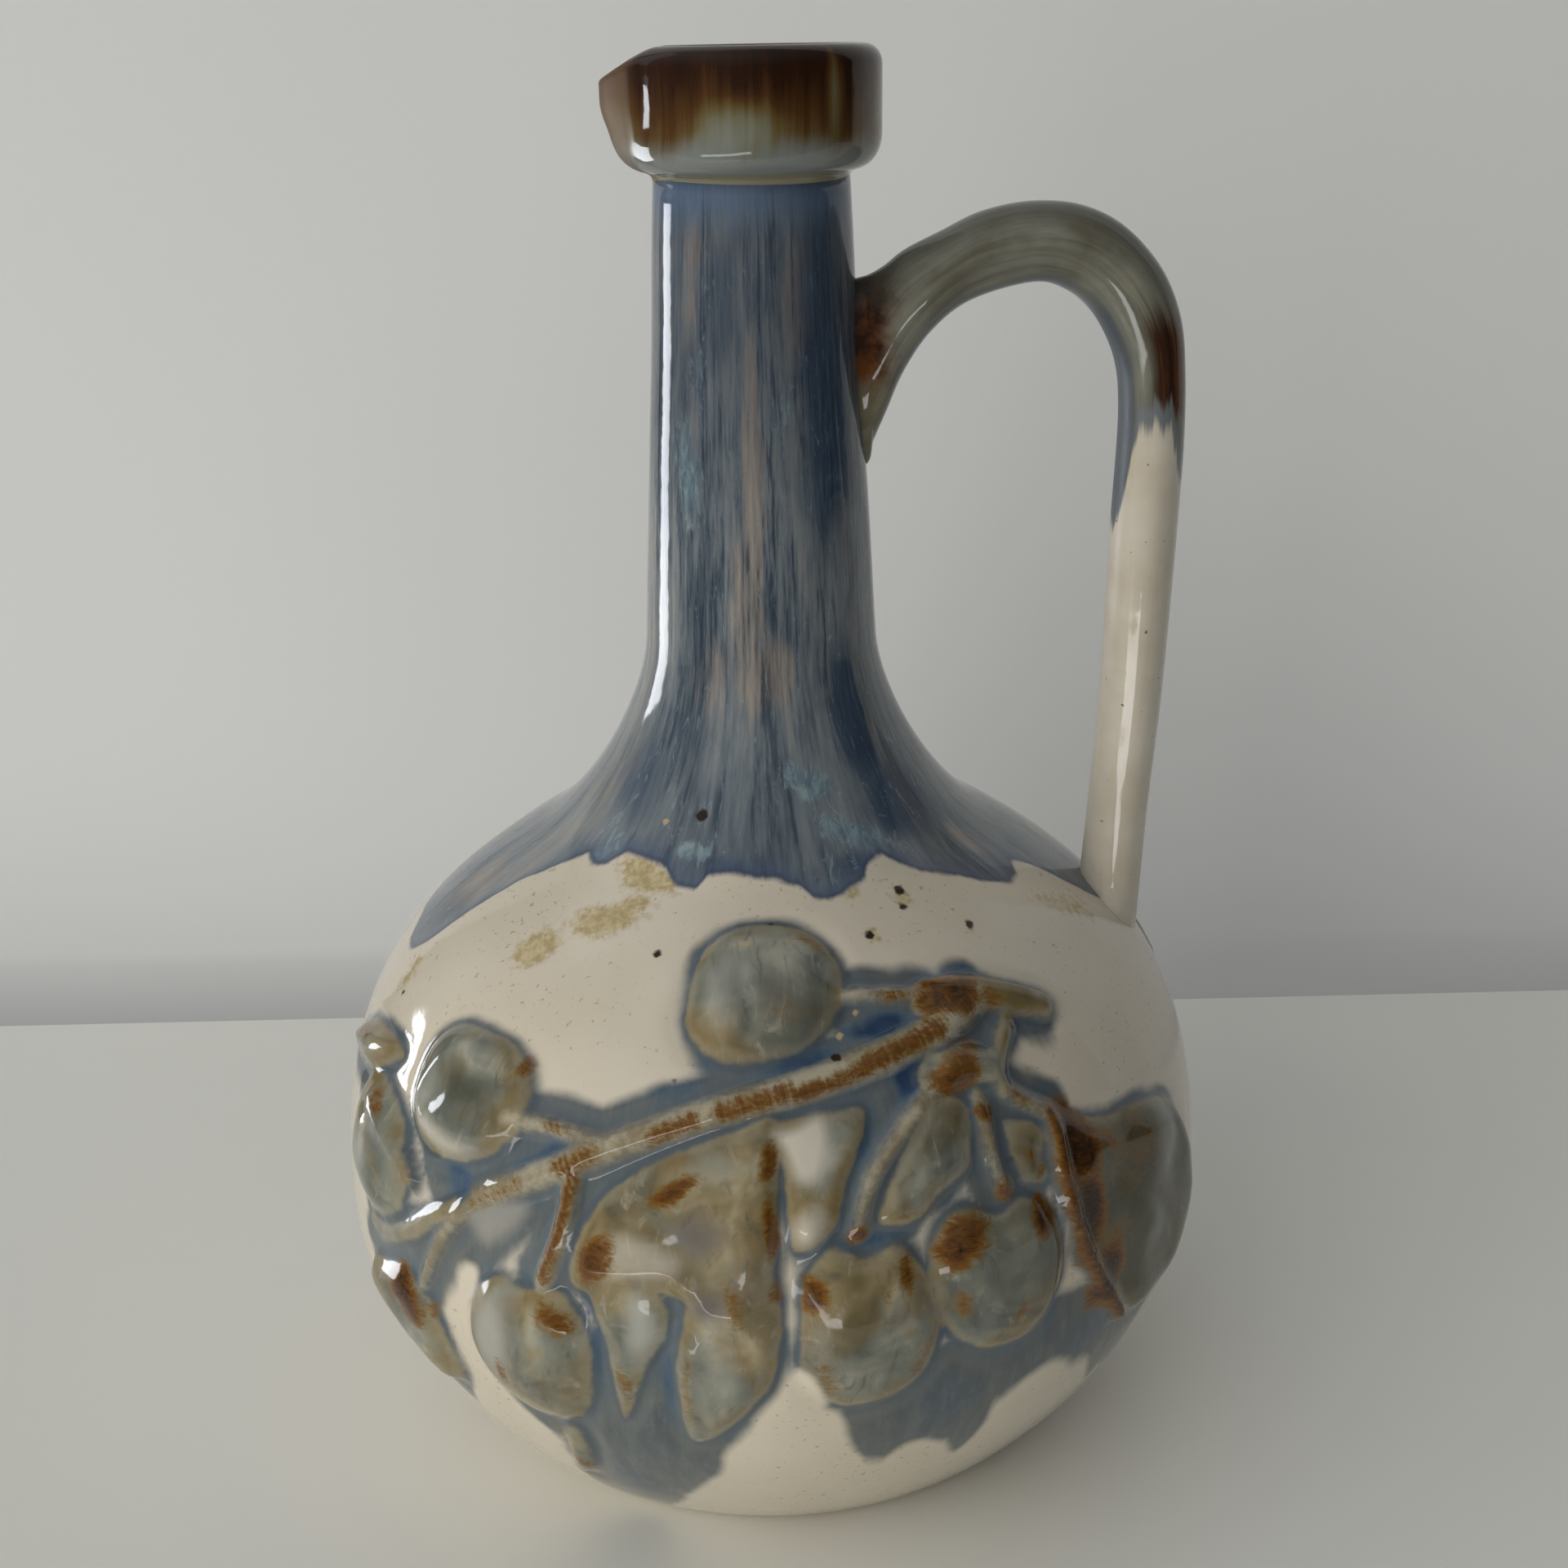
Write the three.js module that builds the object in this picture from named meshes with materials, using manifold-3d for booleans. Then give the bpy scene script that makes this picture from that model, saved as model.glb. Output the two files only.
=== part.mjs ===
// Earthenware carafe: belly, neck, collar with a pouring lip, pulled handle and a sprigged branch.
// Millimetres, +Z up, origin under the middle of the foot. The lip points to -X, the handle to +X,
// and the front, with the branch, faces -Y.

import * as THREE from 'three';
import { mergeVertices } from 'three/addons/utils/BufferGeometryUtils.js';
import Module from 'manifold-3d';

const wasm = await Module();
wasm.setup();

// Joints: the film of slip between two luted pieces
const clearance = 0.3;

// Belly
const footRadius = 52;
const footRingWidth = 8;
const footRecess = 1.6;
const footSlope = 29;
const footEase = 8.3;
const bellyRadius = 80;
const bellyHeight = 48.5;
const bellyLowFullness = 0.43;
const bellyHighFullness = 0.58;
const bellyWall = 5;
const floorThickness = 6;

// Shoulder and flare
const shoulderRadius = 41.5;
const shoulderRise = 65.2;
const shoulderSlope = 31.4;
const shoulderLowEase = 27.5;
const shoulderHighEase = 11.5;
const flareRise = 35.6;
const flareTopEase = 12.4;

// Seam between belly and neck, on the flare
const seamRise = 14;
const seamLedge = 2.6;
const spigotWall = 3;
const spigotLength = 6;

// Neck
const neckFootRadius = 20.3;
const neckTopRadius = 16.3;
const neckLength = 78.3;
const neckWall = 4;
const tenonWall = 2;
const tenonHeight = 5;

// Collar and pouring lip
const collarRadius = 21.8;
const collarHeight = 20;
const collarUndercut = 6;
const rimRound = 3.2;
const rimWall = 4.6;
const lipReach = 3.4;
const lipDrop = 4.2;
const lipHalfAngle = 50;

// Handle
const handleReach = 68;
const handleFootRadius = 63.7;
const handleCrestDrop = 11.8;
const handleCrestReach = 48.5;
const handleJointDrop = 29.6;
const handleLimbDrop = 41.6;
const handleThickness = 12.4;
const handleWidth = 14;
const handleFlare = 6;
const handleFlareLength = 13;
const handleRoot = 6;
const handleClimb = 0.3;
const handleCrestEase = 0.5;
const handleBendFullness = 0.64;

// Facets
const latheSides = 40;
const outlineSteps = 8;
const insideSteps = 5;
const roundSteps = 4;
const handleSides = 12;
const handleSteps = 30;
const fruitSides = 12;
const fruitRows = 6;
const leafSides = 20;
const leafRows = 4;
const twigSides = 8;

// Searching and telling apart: halvings of a search, and the smallest share that counts
const searchHalvings = 40;
const hair = 0.01;

// Sprigs: how deep their backs reach into the wall before they are fitted to it
const sprigSink = 1.2;

// Sprigs: turn is degrees round the belly from the front towards the handle, rise is millimetres
// along the outline from the widest line, and lift is how far the sprig stands off the wall.
const fruits = {
  fruit_top: { turn: -0.3, rise: 64, wide: 12.8, tall: 12.3, lift: 4.2 },
  fruit_left: { turn: -41.8, rise: 39.2, wide: 11.4, tall: 11.2, lift: 4.4 },
  fruit_lower_left: { turn: -28.8, rise: 1.4, wide: 10.6, tall: 14, lift: 4.4 },
  fruit_lower_middle: { turn: 10.6, rise: 8.4, wide: 11.4, tall: 13.4, lift: 4.4 },
  fruit_lower_right: { turn: 27.3, rise: 13.4, wide: 11, tall: 13, lift: 4.4 },
  fruit_edge: { turn: -61.5, rise: 20.5, wide: 10.8, tall: 11.5, lift: 3.6 },
  bud: { turn: 4.6, rise: 26.5, wide: 3, tall: 5, lift: 1.8 },
};
const twigs = {
  branch: {
    places: [[-41, 19.4], [-31.3, 28], [-20.7, 36], [-9.4, 42.4], [2.3, 46.7], [14, 50.2], [27, 54]],
    wide: [5.2, 4.6],
    lift: 3,
    steps: 14,
  },
  knot: { places: [[27.5, 58.5], [36, 57.4], [44.5, 52.6]], wide: [9.5, 6.5], lift: 3, steps: 5 },
  stalk_root: { places: [[24, 46.2], [32.5, 45.6]], wide: [7, 5], lift: 2.8, steps: 4 },
  stalk_top: { places: [[13, 62.2], [26, 59.6]], wide: [3.4, 3.8], lift: 2, steps: 4 },
  stalk_left: { places: [[-33, 37], [-27.5, 37.8], [-19.5, 36.8]], wide: [3.8, 3.8], lift: 2.2, steps: 4 },
  stalk_lower_left: { places: [[-24, 33], [-24.8, 22], [-27, 13]], wide: [4.6, 4.2], lift: 2.6, steps: 5 },
  stalk_middle: { places: [[22.5, 45.4], [13.6, 35], [10.2, 20]], wide: [4.8, 4.2], lift: 2.4, steps: 6 },
  stalk_right: { places: [[28.4, 44], [29, 31], [29.6, 24]], wide: [4.4, 4], lift: 2.4, steps: 5 },
  twig_leaf: { places: [[32, 42.5], [37.6, 36]], wide: [4.2, 3.8], lift: 2.2, steps: 3 },
  fork_left: { places: [[-39.5, 20], [-43.1, 13.3], [-47.1, 2.4]], wide: [4, 3.4], lift: 2, steps: 5 },
  tendril: { places: [[-43, 19.6], [-49, 16.2], [-54.5, 8.6]], wide: [4.2, 4.6], lift: 2.2, steps: 5 },
};
const leaves = {
  leaf_large: { base: [0.5, 40], tip: [-11.5, -29], left: 22, right: 7,
    lift: 2.4, taper: 0.5, lobe: 0.12, lobes: 4 },
  leaf_right: { base: [37, 40], tip: [52.5, -10], left: 4, right: 26,
    lift: 2.6, taper: 0.3, lobe: 0, lobes: 0 },
  leaf_small: { base: [33, 40.5], tip: [33.6, 23], left: 3.5, right: 3,
    lift: 1.6, taper: 0.3, lobe: 0, lobes: 0 },
  leaf_edge: { base: [-61, 33], tip: [-77, 36], left: 5, right: 5,
    lift: 2.4, taper: 0.3, lobe: 0, lobes: 0 },
  leaf_lower_left: { base: [-59, 2], tip: [-39, -19], left: 7, right: 7,
    lift: 2.8, taper: 0.3, lobe: 0, lobes: 0 },
  leaf_low: { base: [-28, -14.5], tip: [-25.6, -35], left: 3.6, right: 3.6,
    lift: 2, taper: 0.3, lobe: 0, lobes: 0 },
};

// Heights and radii that follow from the sizes above
const shoulderHeight = bellyHeight + shoulderRise;
const neckFootHeight = shoulderHeight + flareRise;
const neckTopHeight = neckFootHeight + neckLength;
const collarBottom = neckTopHeight + clearance;
const rimHeight = collarBottom + collarHeight;
const boreRadius = neckTopRadius - neckWall;
const tenonRadius = boreRadius + tenonWall;

const radians = THREE.MathUtils.degToRad;
const point = (radius, height) => new THREE.Vector2(radius, height);
const along = (start, degrees, length) =>
  point(start.x + length * Math.cos(radians(degrees)), start.y + length * Math.sin(radians(degrees)));

// Outside outline, foot to neck top
const footEdge = point(footRadius, 0);
const widest = point(bellyRadius, bellyHeight);
const shoulder = point(shoulderRadius, shoulderHeight);
const neckFoot = point(neckFootRadius, neckFootHeight);
const neckTop = point(neckTopRadius, neckTopHeight);
const neckLean = (neckTopRadius - neckFootRadius) / neckLength;

const lowerBelly = new THREE.CubicBezierCurve(
  footEdge,
  along(footEdge, footSlope, footEase),
  point(bellyRadius, bellyHeight * (1 - bellyLowFullness)),
  widest,
);
const upperBelly = new THREE.CubicBezierCurve(
  widest,
  point(bellyRadius, bellyHeight + shoulderRise * bellyHighFullness),
  along(shoulder, -shoulderSlope, shoulderLowEase),
  shoulder,
);
const flare = new THREE.CubicBezierCurve(
  shoulder,
  along(shoulder, 180 - shoulderSlope, shoulderHighEase),
  point(neckFootRadius - neckLean * flareTopEase, neckFootHeight - flareTopEase),
  neckFoot,
);
const neckSide = new THREE.LineCurve(neckFoot, neckTop);

// A point on a curve, moved along the outward normal by the given distance
function offsetPoint(curve, t, distance) {
  const tangent = curve.getTangent(t);
  return curve.getPoint(t).add(point(tangent.y, -tangent.x).multiplyScalar(distance));
}

function offsetRun(curve, from, to, steps, distance) {
  const run = [];
  for (let i = 0; i <= steps; i += 1) {
    run.push(offsetPoint(curve, from + ((to - from) * i) / steps, distance));
  }
  return run;
}

// The place on a curve where a measure that shrinks along it reaches the wanted value
function findPlace(measure, wanted) {
  let low = 0;
  let high = 1;
  for (let i = 0; i < searchHalvings; i += 1) {
    const middle = (low + high) / 2;
    if (measure(middle) > wanted) low = middle;
    else high = middle;
  }
  return (low + high) / 2;
}

function quarterRound(centre, radiusX, radiusY, fromDegrees) {
  const run = [];
  for (let i = 0; i <= roundSteps; i += 1) {
    const angle = radians(fromDegrees + (90 * i) / roundSteps);
    run.push(point(centre.x + radiusX * Math.cos(angle), centre.y + radiusY * Math.sin(angle)));
  }
  return run;
}

// A turned piece: the outline is (radius, height), and turn 0 faces -Y
function turned(outline) {
  const geometry = new THREE.LatheGeometry(outline, latheSides);
  geometry.rotateX(Math.PI / 2);
  return geometry;
}

function bareGeometry(geometry) {
  const bare = geometry.clone();
  bare.deleteAttribute('normal');
  bare.deleteAttribute('uv');
  return mergeVertices(bare);
}

function toSolid(geometry) {
  const bare = bareGeometry(geometry);
  return new wasm.Manifold(new wasm.Mesh({
    numProp: 3,
    vertProperties: new Float32Array(bare.attributes.position.array),
    triVerts: new Uint32Array(bare.index.array),
  }));
}

// The largest body of a cut piece: crumbs left by a trim fall away
function toGeometry(solid) {
  const bodies = solid.decompose();
  bodies.sort((a, b) => b.volume() - a.volume());
  const mesh = bodies[0].getMesh();
  const geometry = new THREE.BufferGeometry();
  geometry.setAttribute('position', new THREE.BufferAttribute(mesh.vertProperties, 3));
  geometry.setIndex(new THREE.BufferAttribute(mesh.triVerts, 1));
  geometry.computeVertexNormals();
  return geometry;
}

function clay(color, roughness) {
  return new THREE.MeshStandardMaterial({ color, roughness, metalness: 0 });
}

const creamGlaze = clay('#d9d0c1', 0.14);
const blueGlaze = clay('#5d6f86', 0.14);
const brownGlaze = clay('#4a3320', 0.12);
const handleGlaze = clay('#a79f90', 0.14);
const fruitGlaze = clay('#8b9088', 0.16);
const woodGlaze = clay('#b39a72', 0.16);
const leafGlaze = clay('#77828a', 0.16);

const carafe = new THREE.Group();

function addPiece(group, name, geometry, material) {
  const mesh = new THREE.Mesh(bareGeometry(geometry), material);
  mesh.name = name;
  group.add(mesh);
}

// Seam between belly and neck
const seamHeight = shoulderHeight + seamRise;
const seamPlace = findPlace((t) => -flare.getPoint(t).y, -seamHeight);
const seamRadius = flare.getPoint(seamPlace).x;
const neckPlace = findPlace((t) => -flare.getPoint(t).y, -(seamHeight + clearance));
const spigotRadius = seamRadius - seamLedge;
const mouthRadius = spigotRadius + clearance;
const spigotBore = spigotRadius - spigotWall;

// Body: foot ring, belly, and a straight mouth that takes the neck's spigot
function bodyOutline() {
  const ringInside = footRadius - footRingWidth;
  const insideShoulder = (t) => offsetPoint(flare, t, -bellyWall);
  const mouthPlace = findPlace((t) => insideShoulder(t).x, mouthRadius);
  const floorPlace = findPlace((t) => -offsetPoint(lowerBelly, t, -bellyWall).y, -floorThickness);
  return [
    point(0, footRecess),
    point(ringInside, footRecess),
    point(ringInside, 0),
    ...offsetRun(lowerBelly, 0, 1, outlineSteps, 0),
    ...offsetRun(upperBelly, 0, 1, outlineSteps, 0).slice(1),
    ...offsetRun(flare, 0, seamPlace, roundSteps, 0).slice(1),
    point(mouthRadius, seamHeight),
    ...offsetRun(flare, mouthPlace, 0, roundSteps, -bellyWall),
    ...offsetRun(upperBelly, 1, 0, insideSteps, -bellyWall).slice(1),
    ...offsetRun(lowerBelly, 1, floorPlace, insideSteps, -bellyWall).slice(1),
    point(0, floorThickness),
  ];
}
addPiece(carafe, 'body', turned(bodyOutline()), creamGlaze);

// Neck: spigot below the seam, flare, straight side, and a tenon that takes the collar
function neckOutline() {
  const borePlace = findPlace((t) => offsetPoint(flare, t, -neckWall).x, spigotBore);
  const neckBottom = seamHeight + clearance;
  const outline = [
    point(spigotRadius, neckBottom),
    ...offsetRun(flare, neckPlace, 1, outlineSteps, 0),
    neckTop,
    point(tenonRadius, neckTopHeight),
    point(tenonRadius, neckTopHeight + tenonHeight),
    point(boreRadius, neckTopHeight + tenonHeight),
    point(boreRadius, neckTopHeight),
    ...offsetRun(flare, 1, borePlace, insideSteps, -neckWall),
    point(spigotBore, seamHeight - spigotLength),
    point(spigotRadius, seamHeight - spigotLength),
  ];
  return [...outline, outline[0].clone()];
}
addPiece(carafe, 'neck', turned(neckOutline()), blueGlaze);

// Collar: a thick ring that sits over the tenon, rounded below and at the rim
function collarOutline() {
  const socketRadius = tenonRadius + clearance;
  const socketTop = neckTopHeight + tenonHeight + clearance;
  const mouthInside = collarRadius - rimWall;
  const underWidth = collarRadius - neckTopRadius;
  const underCentre = point(neckTopRadius, collarBottom + collarUndercut);
  const rimOutside = point(collarRadius - rimRound, rimHeight - rimRound);
  const rimInside = point(mouthInside + (rimWall - rimRound), rimHeight - (rimWall - rimRound));
  const outline = [
    point(socketRadius, collarBottom),
    ...quarterRound(underCentre, underWidth, collarUndercut, -90),
    ...quarterRound(rimOutside, rimRound, rimRound, 0),
    ...quarterRound(rimInside, rimWall - rimRound, rimWall - rimRound, 90).slice(1),
    point(mouthInside, socketTop + collarUndercut),
    point(boreRadius, socketTop),
    point(socketRadius, socketTop),
  ];
  return [...outline, outline[0].clone()];
}

// The lip: the ring is pulled outwards and slightly down on the side that faces -X
function pullLip(geometry) {
  const places = geometry.attributes.position;
  const half = radians(lipHalfAngle);
  for (let i = 0; i < places.count; i += 1) {
    const x = places.getX(i);
    const y = places.getY(i);
    const away = Math.abs(Math.atan2(y, -x));
    const pull = away < half ? 0.5 + 0.5 * Math.cos((Math.PI * away) / half) : 0;
    const height = Math.max(0, (places.getZ(i) - collarBottom) / collarHeight);
    const stretch = 1 + (lipReach * pull * height) / collarRadius;
    places.setXYZ(i, x * stretch, y * stretch, places.getZ(i) - lipDrop * pull * height ** 3);
  }
  return geometry;
}
addPiece(carafe, 'mouth_collar', pullLip(turned(collarOutline())), brownGlaze);

// Handle: straight limb on the shoulder, then an arch down to the neck
function handleHeightOnBelly(radius) {
  return upperBelly.getPoint(findPlace((t) => upperBelly.getPoint(t).x, radius)).y;
}

function handlePath() {
  const crest = neckTopHeight - handleCrestDrop;
  const joint = neckTopHeight - handleJointDrop;
  const limbTop = neckTopHeight - handleLimbDrop;
  const foot = handleHeightOnBelly(handleFootRadius) - handleRoot;
  const place = (x, z) => new THREE.Vector3(x, 0, z);
  const leave = place(neckTopRadius, joint);
  const reach = handleCrestReach - neckTopRadius;
  const climb = leave.clone().add(place(reach * handleClimb, (crest - joint) * handleClimb));
  const root = leave.clone().addScaledVector(climb.clone().sub(leave).normalize(), -neckTopRadius);
  const path = new THREE.CurvePath();
  path.add(new THREE.LineCurve3(root, leave));
  path.add(new THREE.CubicBezierCurve3(
    leave,
    climb,
    place(handleCrestReach - reach * handleCrestEase, crest),
    place(handleCrestReach, crest),
  ));
  path.add(new THREE.CubicBezierCurve3(
    place(handleCrestReach, crest),
    place(handleCrestReach + (handleReach - handleCrestReach) * handleBendFullness, crest),
    place(handleReach, limbTop + (crest - limbTop) * handleBendFullness),
    place(handleReach, limbTop),
  ));
  path.add(new THREE.LineCurve3(place(handleReach, limbTop), place(handleFootRadius, foot)));
  return path;
}

// A tube along the handle's path, deepening where it meets the neck
function handleTube() {
  const path = handlePath();
  const side = new THREE.Vector3(0, 1, 0);
  const geometry = new THREE.CylinderGeometry(1, 1, 1, handleSides, handleSteps);
  const places = geometry.attributes.position;
  for (let i = 0; i < places.count; i += 1) {
    const share = THREE.MathUtils.clamp(places.getY(i) + 0.5, 0, 1);
    const place = path.getPoint(share);
    const near = THREE.MathUtils.clamp(1 - (place.x - neckTopRadius) / handleFlareLength, 0, 1);
    const swell = handleFlare * near * near;
    const out = new THREE.Vector3().crossVectors(side, path.getTangent(share));
    place.addScaledVector(side, places.getX(i) * (handleWidth / 2));
    place.addScaledVector(out, places.getZ(i) * (handleThickness / 2 + swell));
    places.setXYZ(i, place.x, place.y, place.z);
  }
  return geometry;
}

// The filled outside of belly and neck, grown by the slip film: handle and sprigs are fitted to it
const vesselCore = toSolid(turned([
  point(0, 0),
  ...offsetRun(lowerBelly, 0, 1, outlineSteps, clearance),
  ...offsetRun(upperBelly, 0, 1, outlineSteps, clearance).slice(1),
  ...offsetRun(flare, 0, 1, outlineSteps, clearance).slice(1),
  offsetPoint(neckSide, 1, clearance),
  point(0, neckTopHeight),
]));
addPiece(carafe, 'handle', toGeometry(toSolid(handleTube()).subtract(vesselCore)), handleGlaze);

// A point over the belly, at a turn and a rise, lifted off the wall
const bellyOutline = new THREE.CurvePath();
bellyOutline.add(lowerBelly);
bellyOutline.add(upperBelly);
bellyOutline.add(flare);
const bellyLength = bellyOutline.getLength();
const widestLength = lowerBelly.getLength();

function overBelly(turn, rise, lift) {
  const spot = offsetPoint(bellyOutline, (widestLength + rise) / bellyLength, lift);
  const angle = radians(turn);
  return new THREE.Vector3(spot.x * Math.sin(angle), -spot.x * Math.cos(angle), spot.y);
}

function wallRadius(rise) {
  return bellyOutline.getPoint((widestLength + rise) / bellyLength).x;
}

// Degrees of turn for a millimetre round the belly at a rise
const degreesPerMm = (rise) => THREE.MathUtils.radToDeg(1 / wallRadius(rise));

// Lays a unit solid on the belly: spread gives (turn, rise) for each vertex, and height its lift
function layOnBelly(geometry, spread, height) {
  const places = geometry.attributes.position;
  for (let i = 0; i < places.count; i += 1) {
    const local = new THREE.Vector3().fromBufferAttribute(places, i);
    const [turn, rise] = spread(local);
    const spot = overBelly(turn, rise, height(local));
    places.setXYZ(i, spot.x, spot.y, spot.z);
  }
  return geometry;
}

// A sprig is domed over the wall, and its back is sunk into the wall until it is fitted
const liftOver = (local, lift, grow) => (local.z > hair ? local.z * (lift + clearance + grow) : -sprigSink);

function fruitSolid({ turn, rise, wide, tall, lift }, grow) {
  const dome = new THREE.SphereGeometry(1, fruitSides, fruitRows).rotateX(Math.PI / 2);
  const spread = (local) => [
    turn + local.x * (wide + grow) * degreesPerMm(rise),
    rise + local.y * (tall + grow),
  ];
  return toSolid(layOnBelly(dome, spread, (local) => liftOver(local, lift, grow)));
}

function leafSolid({ base, tip, left, right, lift, taper, lobe, lobes }, grow) {
  const blade = new THREE.SphereGeometry(1, leafSides, leafRows).rotateX(Math.PI / 2);
  const rise = (base[1] + tip[1]) / 2;
  const perMm = degreesPerMm(rise);
  const axis = point((tip[0] - base[0]) / perMm, tip[1] - base[1]);
  const half = axis.length() / 2 + grow;
  axis.normalize();
  const spread = (local) => {
    const width = (local.x > 0 ? left : right) * (1 - taper * local.y) + grow;
    const across = local.x * width * (1 + lobe * Math.cos(lobes * Math.PI * local.y));
    const lengthwise = local.y * half;
    return [
      (base[0] + tip[0]) / 2 + (axis.x * lengthwise + axis.y * across) * perMm,
      rise + axis.y * lengthwise - axis.x * across,
    ];
  };
  return toSolid(layOnBelly(blade, spread, (local) => liftOver(local, lift, grow)));
}

function twigSolid({ places, wide, lift, steps }, grow) {
  const route = new THREE.SplineCurve(places.map(([turn, rise]) => point(turn, rise)));
  const rod = new THREE.CylinderGeometry(1, 1, 1, twigSides, steps);
  const spread = (local) => {
    const share = THREE.MathUtils.clamp(local.y + 0.5, 0, 1);
    const spot = route.getPoint(share);
    const perMm = degreesPerMm(spot.y);
    const heading = route.getTangent(share);
    heading.x /= perMm;
    heading.normalize();
    const across = local.x * (THREE.MathUtils.lerp(wide[0], wide[1], share) / 2 + grow);
    const beyond = Math.abs(local.y) > 0.5 - hair ? Math.sign(local.y) * grow : 0;
    return [
      spot.x + (heading.x * beyond + heading.y * across) * perMm,
      spot.y + heading.y * beyond - heading.x * across,
    ];
  };
  return toSolid(layOnBelly(rod, spread, (local) => liftOver(local, lift, grow)));
}

// Sprigs in the order in which they are pressed on: each is trimmed to clear the ones before it
const sprigs = [
  ...Object.entries(fruits).map(([name, sizes]) => [name, fruitSolid, sizes, fruitGlaze]),
  ...Object.entries(twigs).map(([name, sizes]) => [name, twigSolid, sizes, woodGlaze]),
  ...Object.entries(leaves).map(([name, sizes]) => [name, leafSolid, sizes, leafGlaze]),
];

const front = new THREE.Group();
const back = new THREE.Group();
back.rotation.z = Math.PI;
carafe.add(front, back);

const pressed = [];
for (const [name, makeSolid, sizes, material] of sprigs) {
  let solid = makeSolid(sizes, 0).subtract(vesselCore);
  for (const earlier of pressed) {
    solid = solid.subtract(earlier);
  }
  pressed.push(makeSolid(sizes, clearance));
  const geometry = toGeometry(solid);
  addPiece(front, `front_${name}`, geometry, material);
  addPiece(back, `back_${name}`, geometry, material);
}

export default carafe;
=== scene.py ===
import bpy
import math
import numpy as np
from types import SimpleNamespace
from mathutils import Matrix, Vector, noise
from mathutils.geometry import interpolate_bezier


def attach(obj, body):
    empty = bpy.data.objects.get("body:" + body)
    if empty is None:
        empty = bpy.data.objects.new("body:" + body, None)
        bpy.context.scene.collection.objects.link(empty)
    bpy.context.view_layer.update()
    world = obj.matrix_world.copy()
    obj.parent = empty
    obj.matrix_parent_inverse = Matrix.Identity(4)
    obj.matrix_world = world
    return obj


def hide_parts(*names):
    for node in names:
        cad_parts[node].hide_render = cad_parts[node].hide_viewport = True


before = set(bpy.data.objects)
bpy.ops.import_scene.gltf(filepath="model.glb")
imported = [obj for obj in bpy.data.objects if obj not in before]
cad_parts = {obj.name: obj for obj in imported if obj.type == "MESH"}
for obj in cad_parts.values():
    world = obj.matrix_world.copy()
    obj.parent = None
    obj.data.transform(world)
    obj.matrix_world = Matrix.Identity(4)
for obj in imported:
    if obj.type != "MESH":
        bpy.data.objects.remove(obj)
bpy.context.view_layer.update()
mm = 0.001  # sizes below are millimetres, Blender works in metres
scene = bpy.context.scene
scene.view_settings.view_transform = "Standard"
print("frame loaded:", len(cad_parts), "nodes")


def hexColour(code):
    parts = [int(code[i:i + 2], 16) / 255 for i in (1, 3, 5)]
    linear = [p / 12.92 if p <= 0.04045 else ((p + 0.055) / 1.055) ** 2.4 for p in parts]
    return (*linear, 1.0)


def addNode(tree, kind, inputs=(), out=0, stops=(), **settings):  # gives one of the node's outputs
    node = tree.nodes.new("ShaderNode" + kind)
    for name, value in settings.items():
        setattr(node, name, value)
    for socket, value in inputs.items() if isinstance(inputs, dict) else enumerate(inputs):
        if isinstance(value, bpy.types.NodeSocket):
            tree.links.new(value, node.inputs[socket])
        else:
            node.inputs[socket].default_value = hexColour(value) if isinstance(value, str) else value
    for i, (place, code) in enumerate(stops):
        ramp = node.color_ramp.elements
        stop = ramp[i] if i < 2 else ramp.new(place)
        stop.position = place
        stop.color = hexColour(code)
    return node.outputs[out] if node.outputs else None


def newMaterial(name):
    material = bpy.data.materials.new(name)
    material.use_nodes = True
    material.node_tree.nodes.clear()
    return material, material.node_tree


def deselectAll():
    bpy.ops.object.select_all(action="DESELECT")


def pickOut(piece):  # operators then act on this piece alone
    deselectAll()
    bpy.context.view_layer.objects.active = piece
    piece.select_set(True)


def latheOutline(name, outline, steps):  # outline of (radius, height), spun round the axis, not yet merged
    mesh = bpy.data.meshes.new(name)
    corners = [(r * mm, 0, z * mm) for r, z in outline]
    mesh.from_pydata(corners, [(i, i + 1) for i in range(len(corners) - 1)], [])
    piece = bpy.data.objects.new(name, mesh)
    scene.collection.objects.link(piece)
    pickOut(piece)
    spin = piece.modifiers.new("spin", "SCREW")
    spin.axis = "Z"
    spin.angle = 2 * math.pi
    spin.steps = spin.render_steps = steps
    spin.use_merge_vertices = False
    bpy.ops.object.modifier_apply(modifier="spin")
    return piece


def closeAndSmooth(piece):  # merge the poles and the seam, then turn every face outwards
    pickOut(piece)
    bpy.ops.object.mode_set(mode="EDIT")
    bpy.ops.mesh.select_all(action="SELECT")
    bpy.ops.mesh.remove_doubles(threshold=0.00001)
    bpy.ops.mesh.normals_make_consistent(inside=False)
    bpy.ops.object.mode_set(mode="OBJECT")
    bpy.ops.object.shade_smooth()


def readPoints(piece):
    points = np.empty(len(piece.data.vertices) * 3)
    piece.data.vertices.foreach_get("co", points)
    return points.reshape(-1, 3)


def writePoints(piece, points):
    piece.data.vertices.foreach_set("co", points.ravel())
    piece.data.update()


def storeField(piece, name, values):
    field = piece.data.attributes.new(name, "FLOAT", "POINT")
    field.data.foreach_set("value", np.asarray(values, dtype=np.float32).ravel())


def storeVector(piece, name, values):
    field = piece.data.attributes.new(name, "FLOAT_VECTOR", "POINT")
    field.data.foreach_set("vector", np.asarray(values, dtype=np.float32).ravel())


def mottle(points, size, shift):  # soft lumps of the given size, from -1 to 1
    return np.array([noise.noise(Vector(p) / size + Vector((shift, 0, 0))) for p in points])


def smoothStep(low, high, values):
    share = np.clip((values - low) / (high - low), 0, 1)
    return share * share * (3 - 2 * share)


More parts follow.
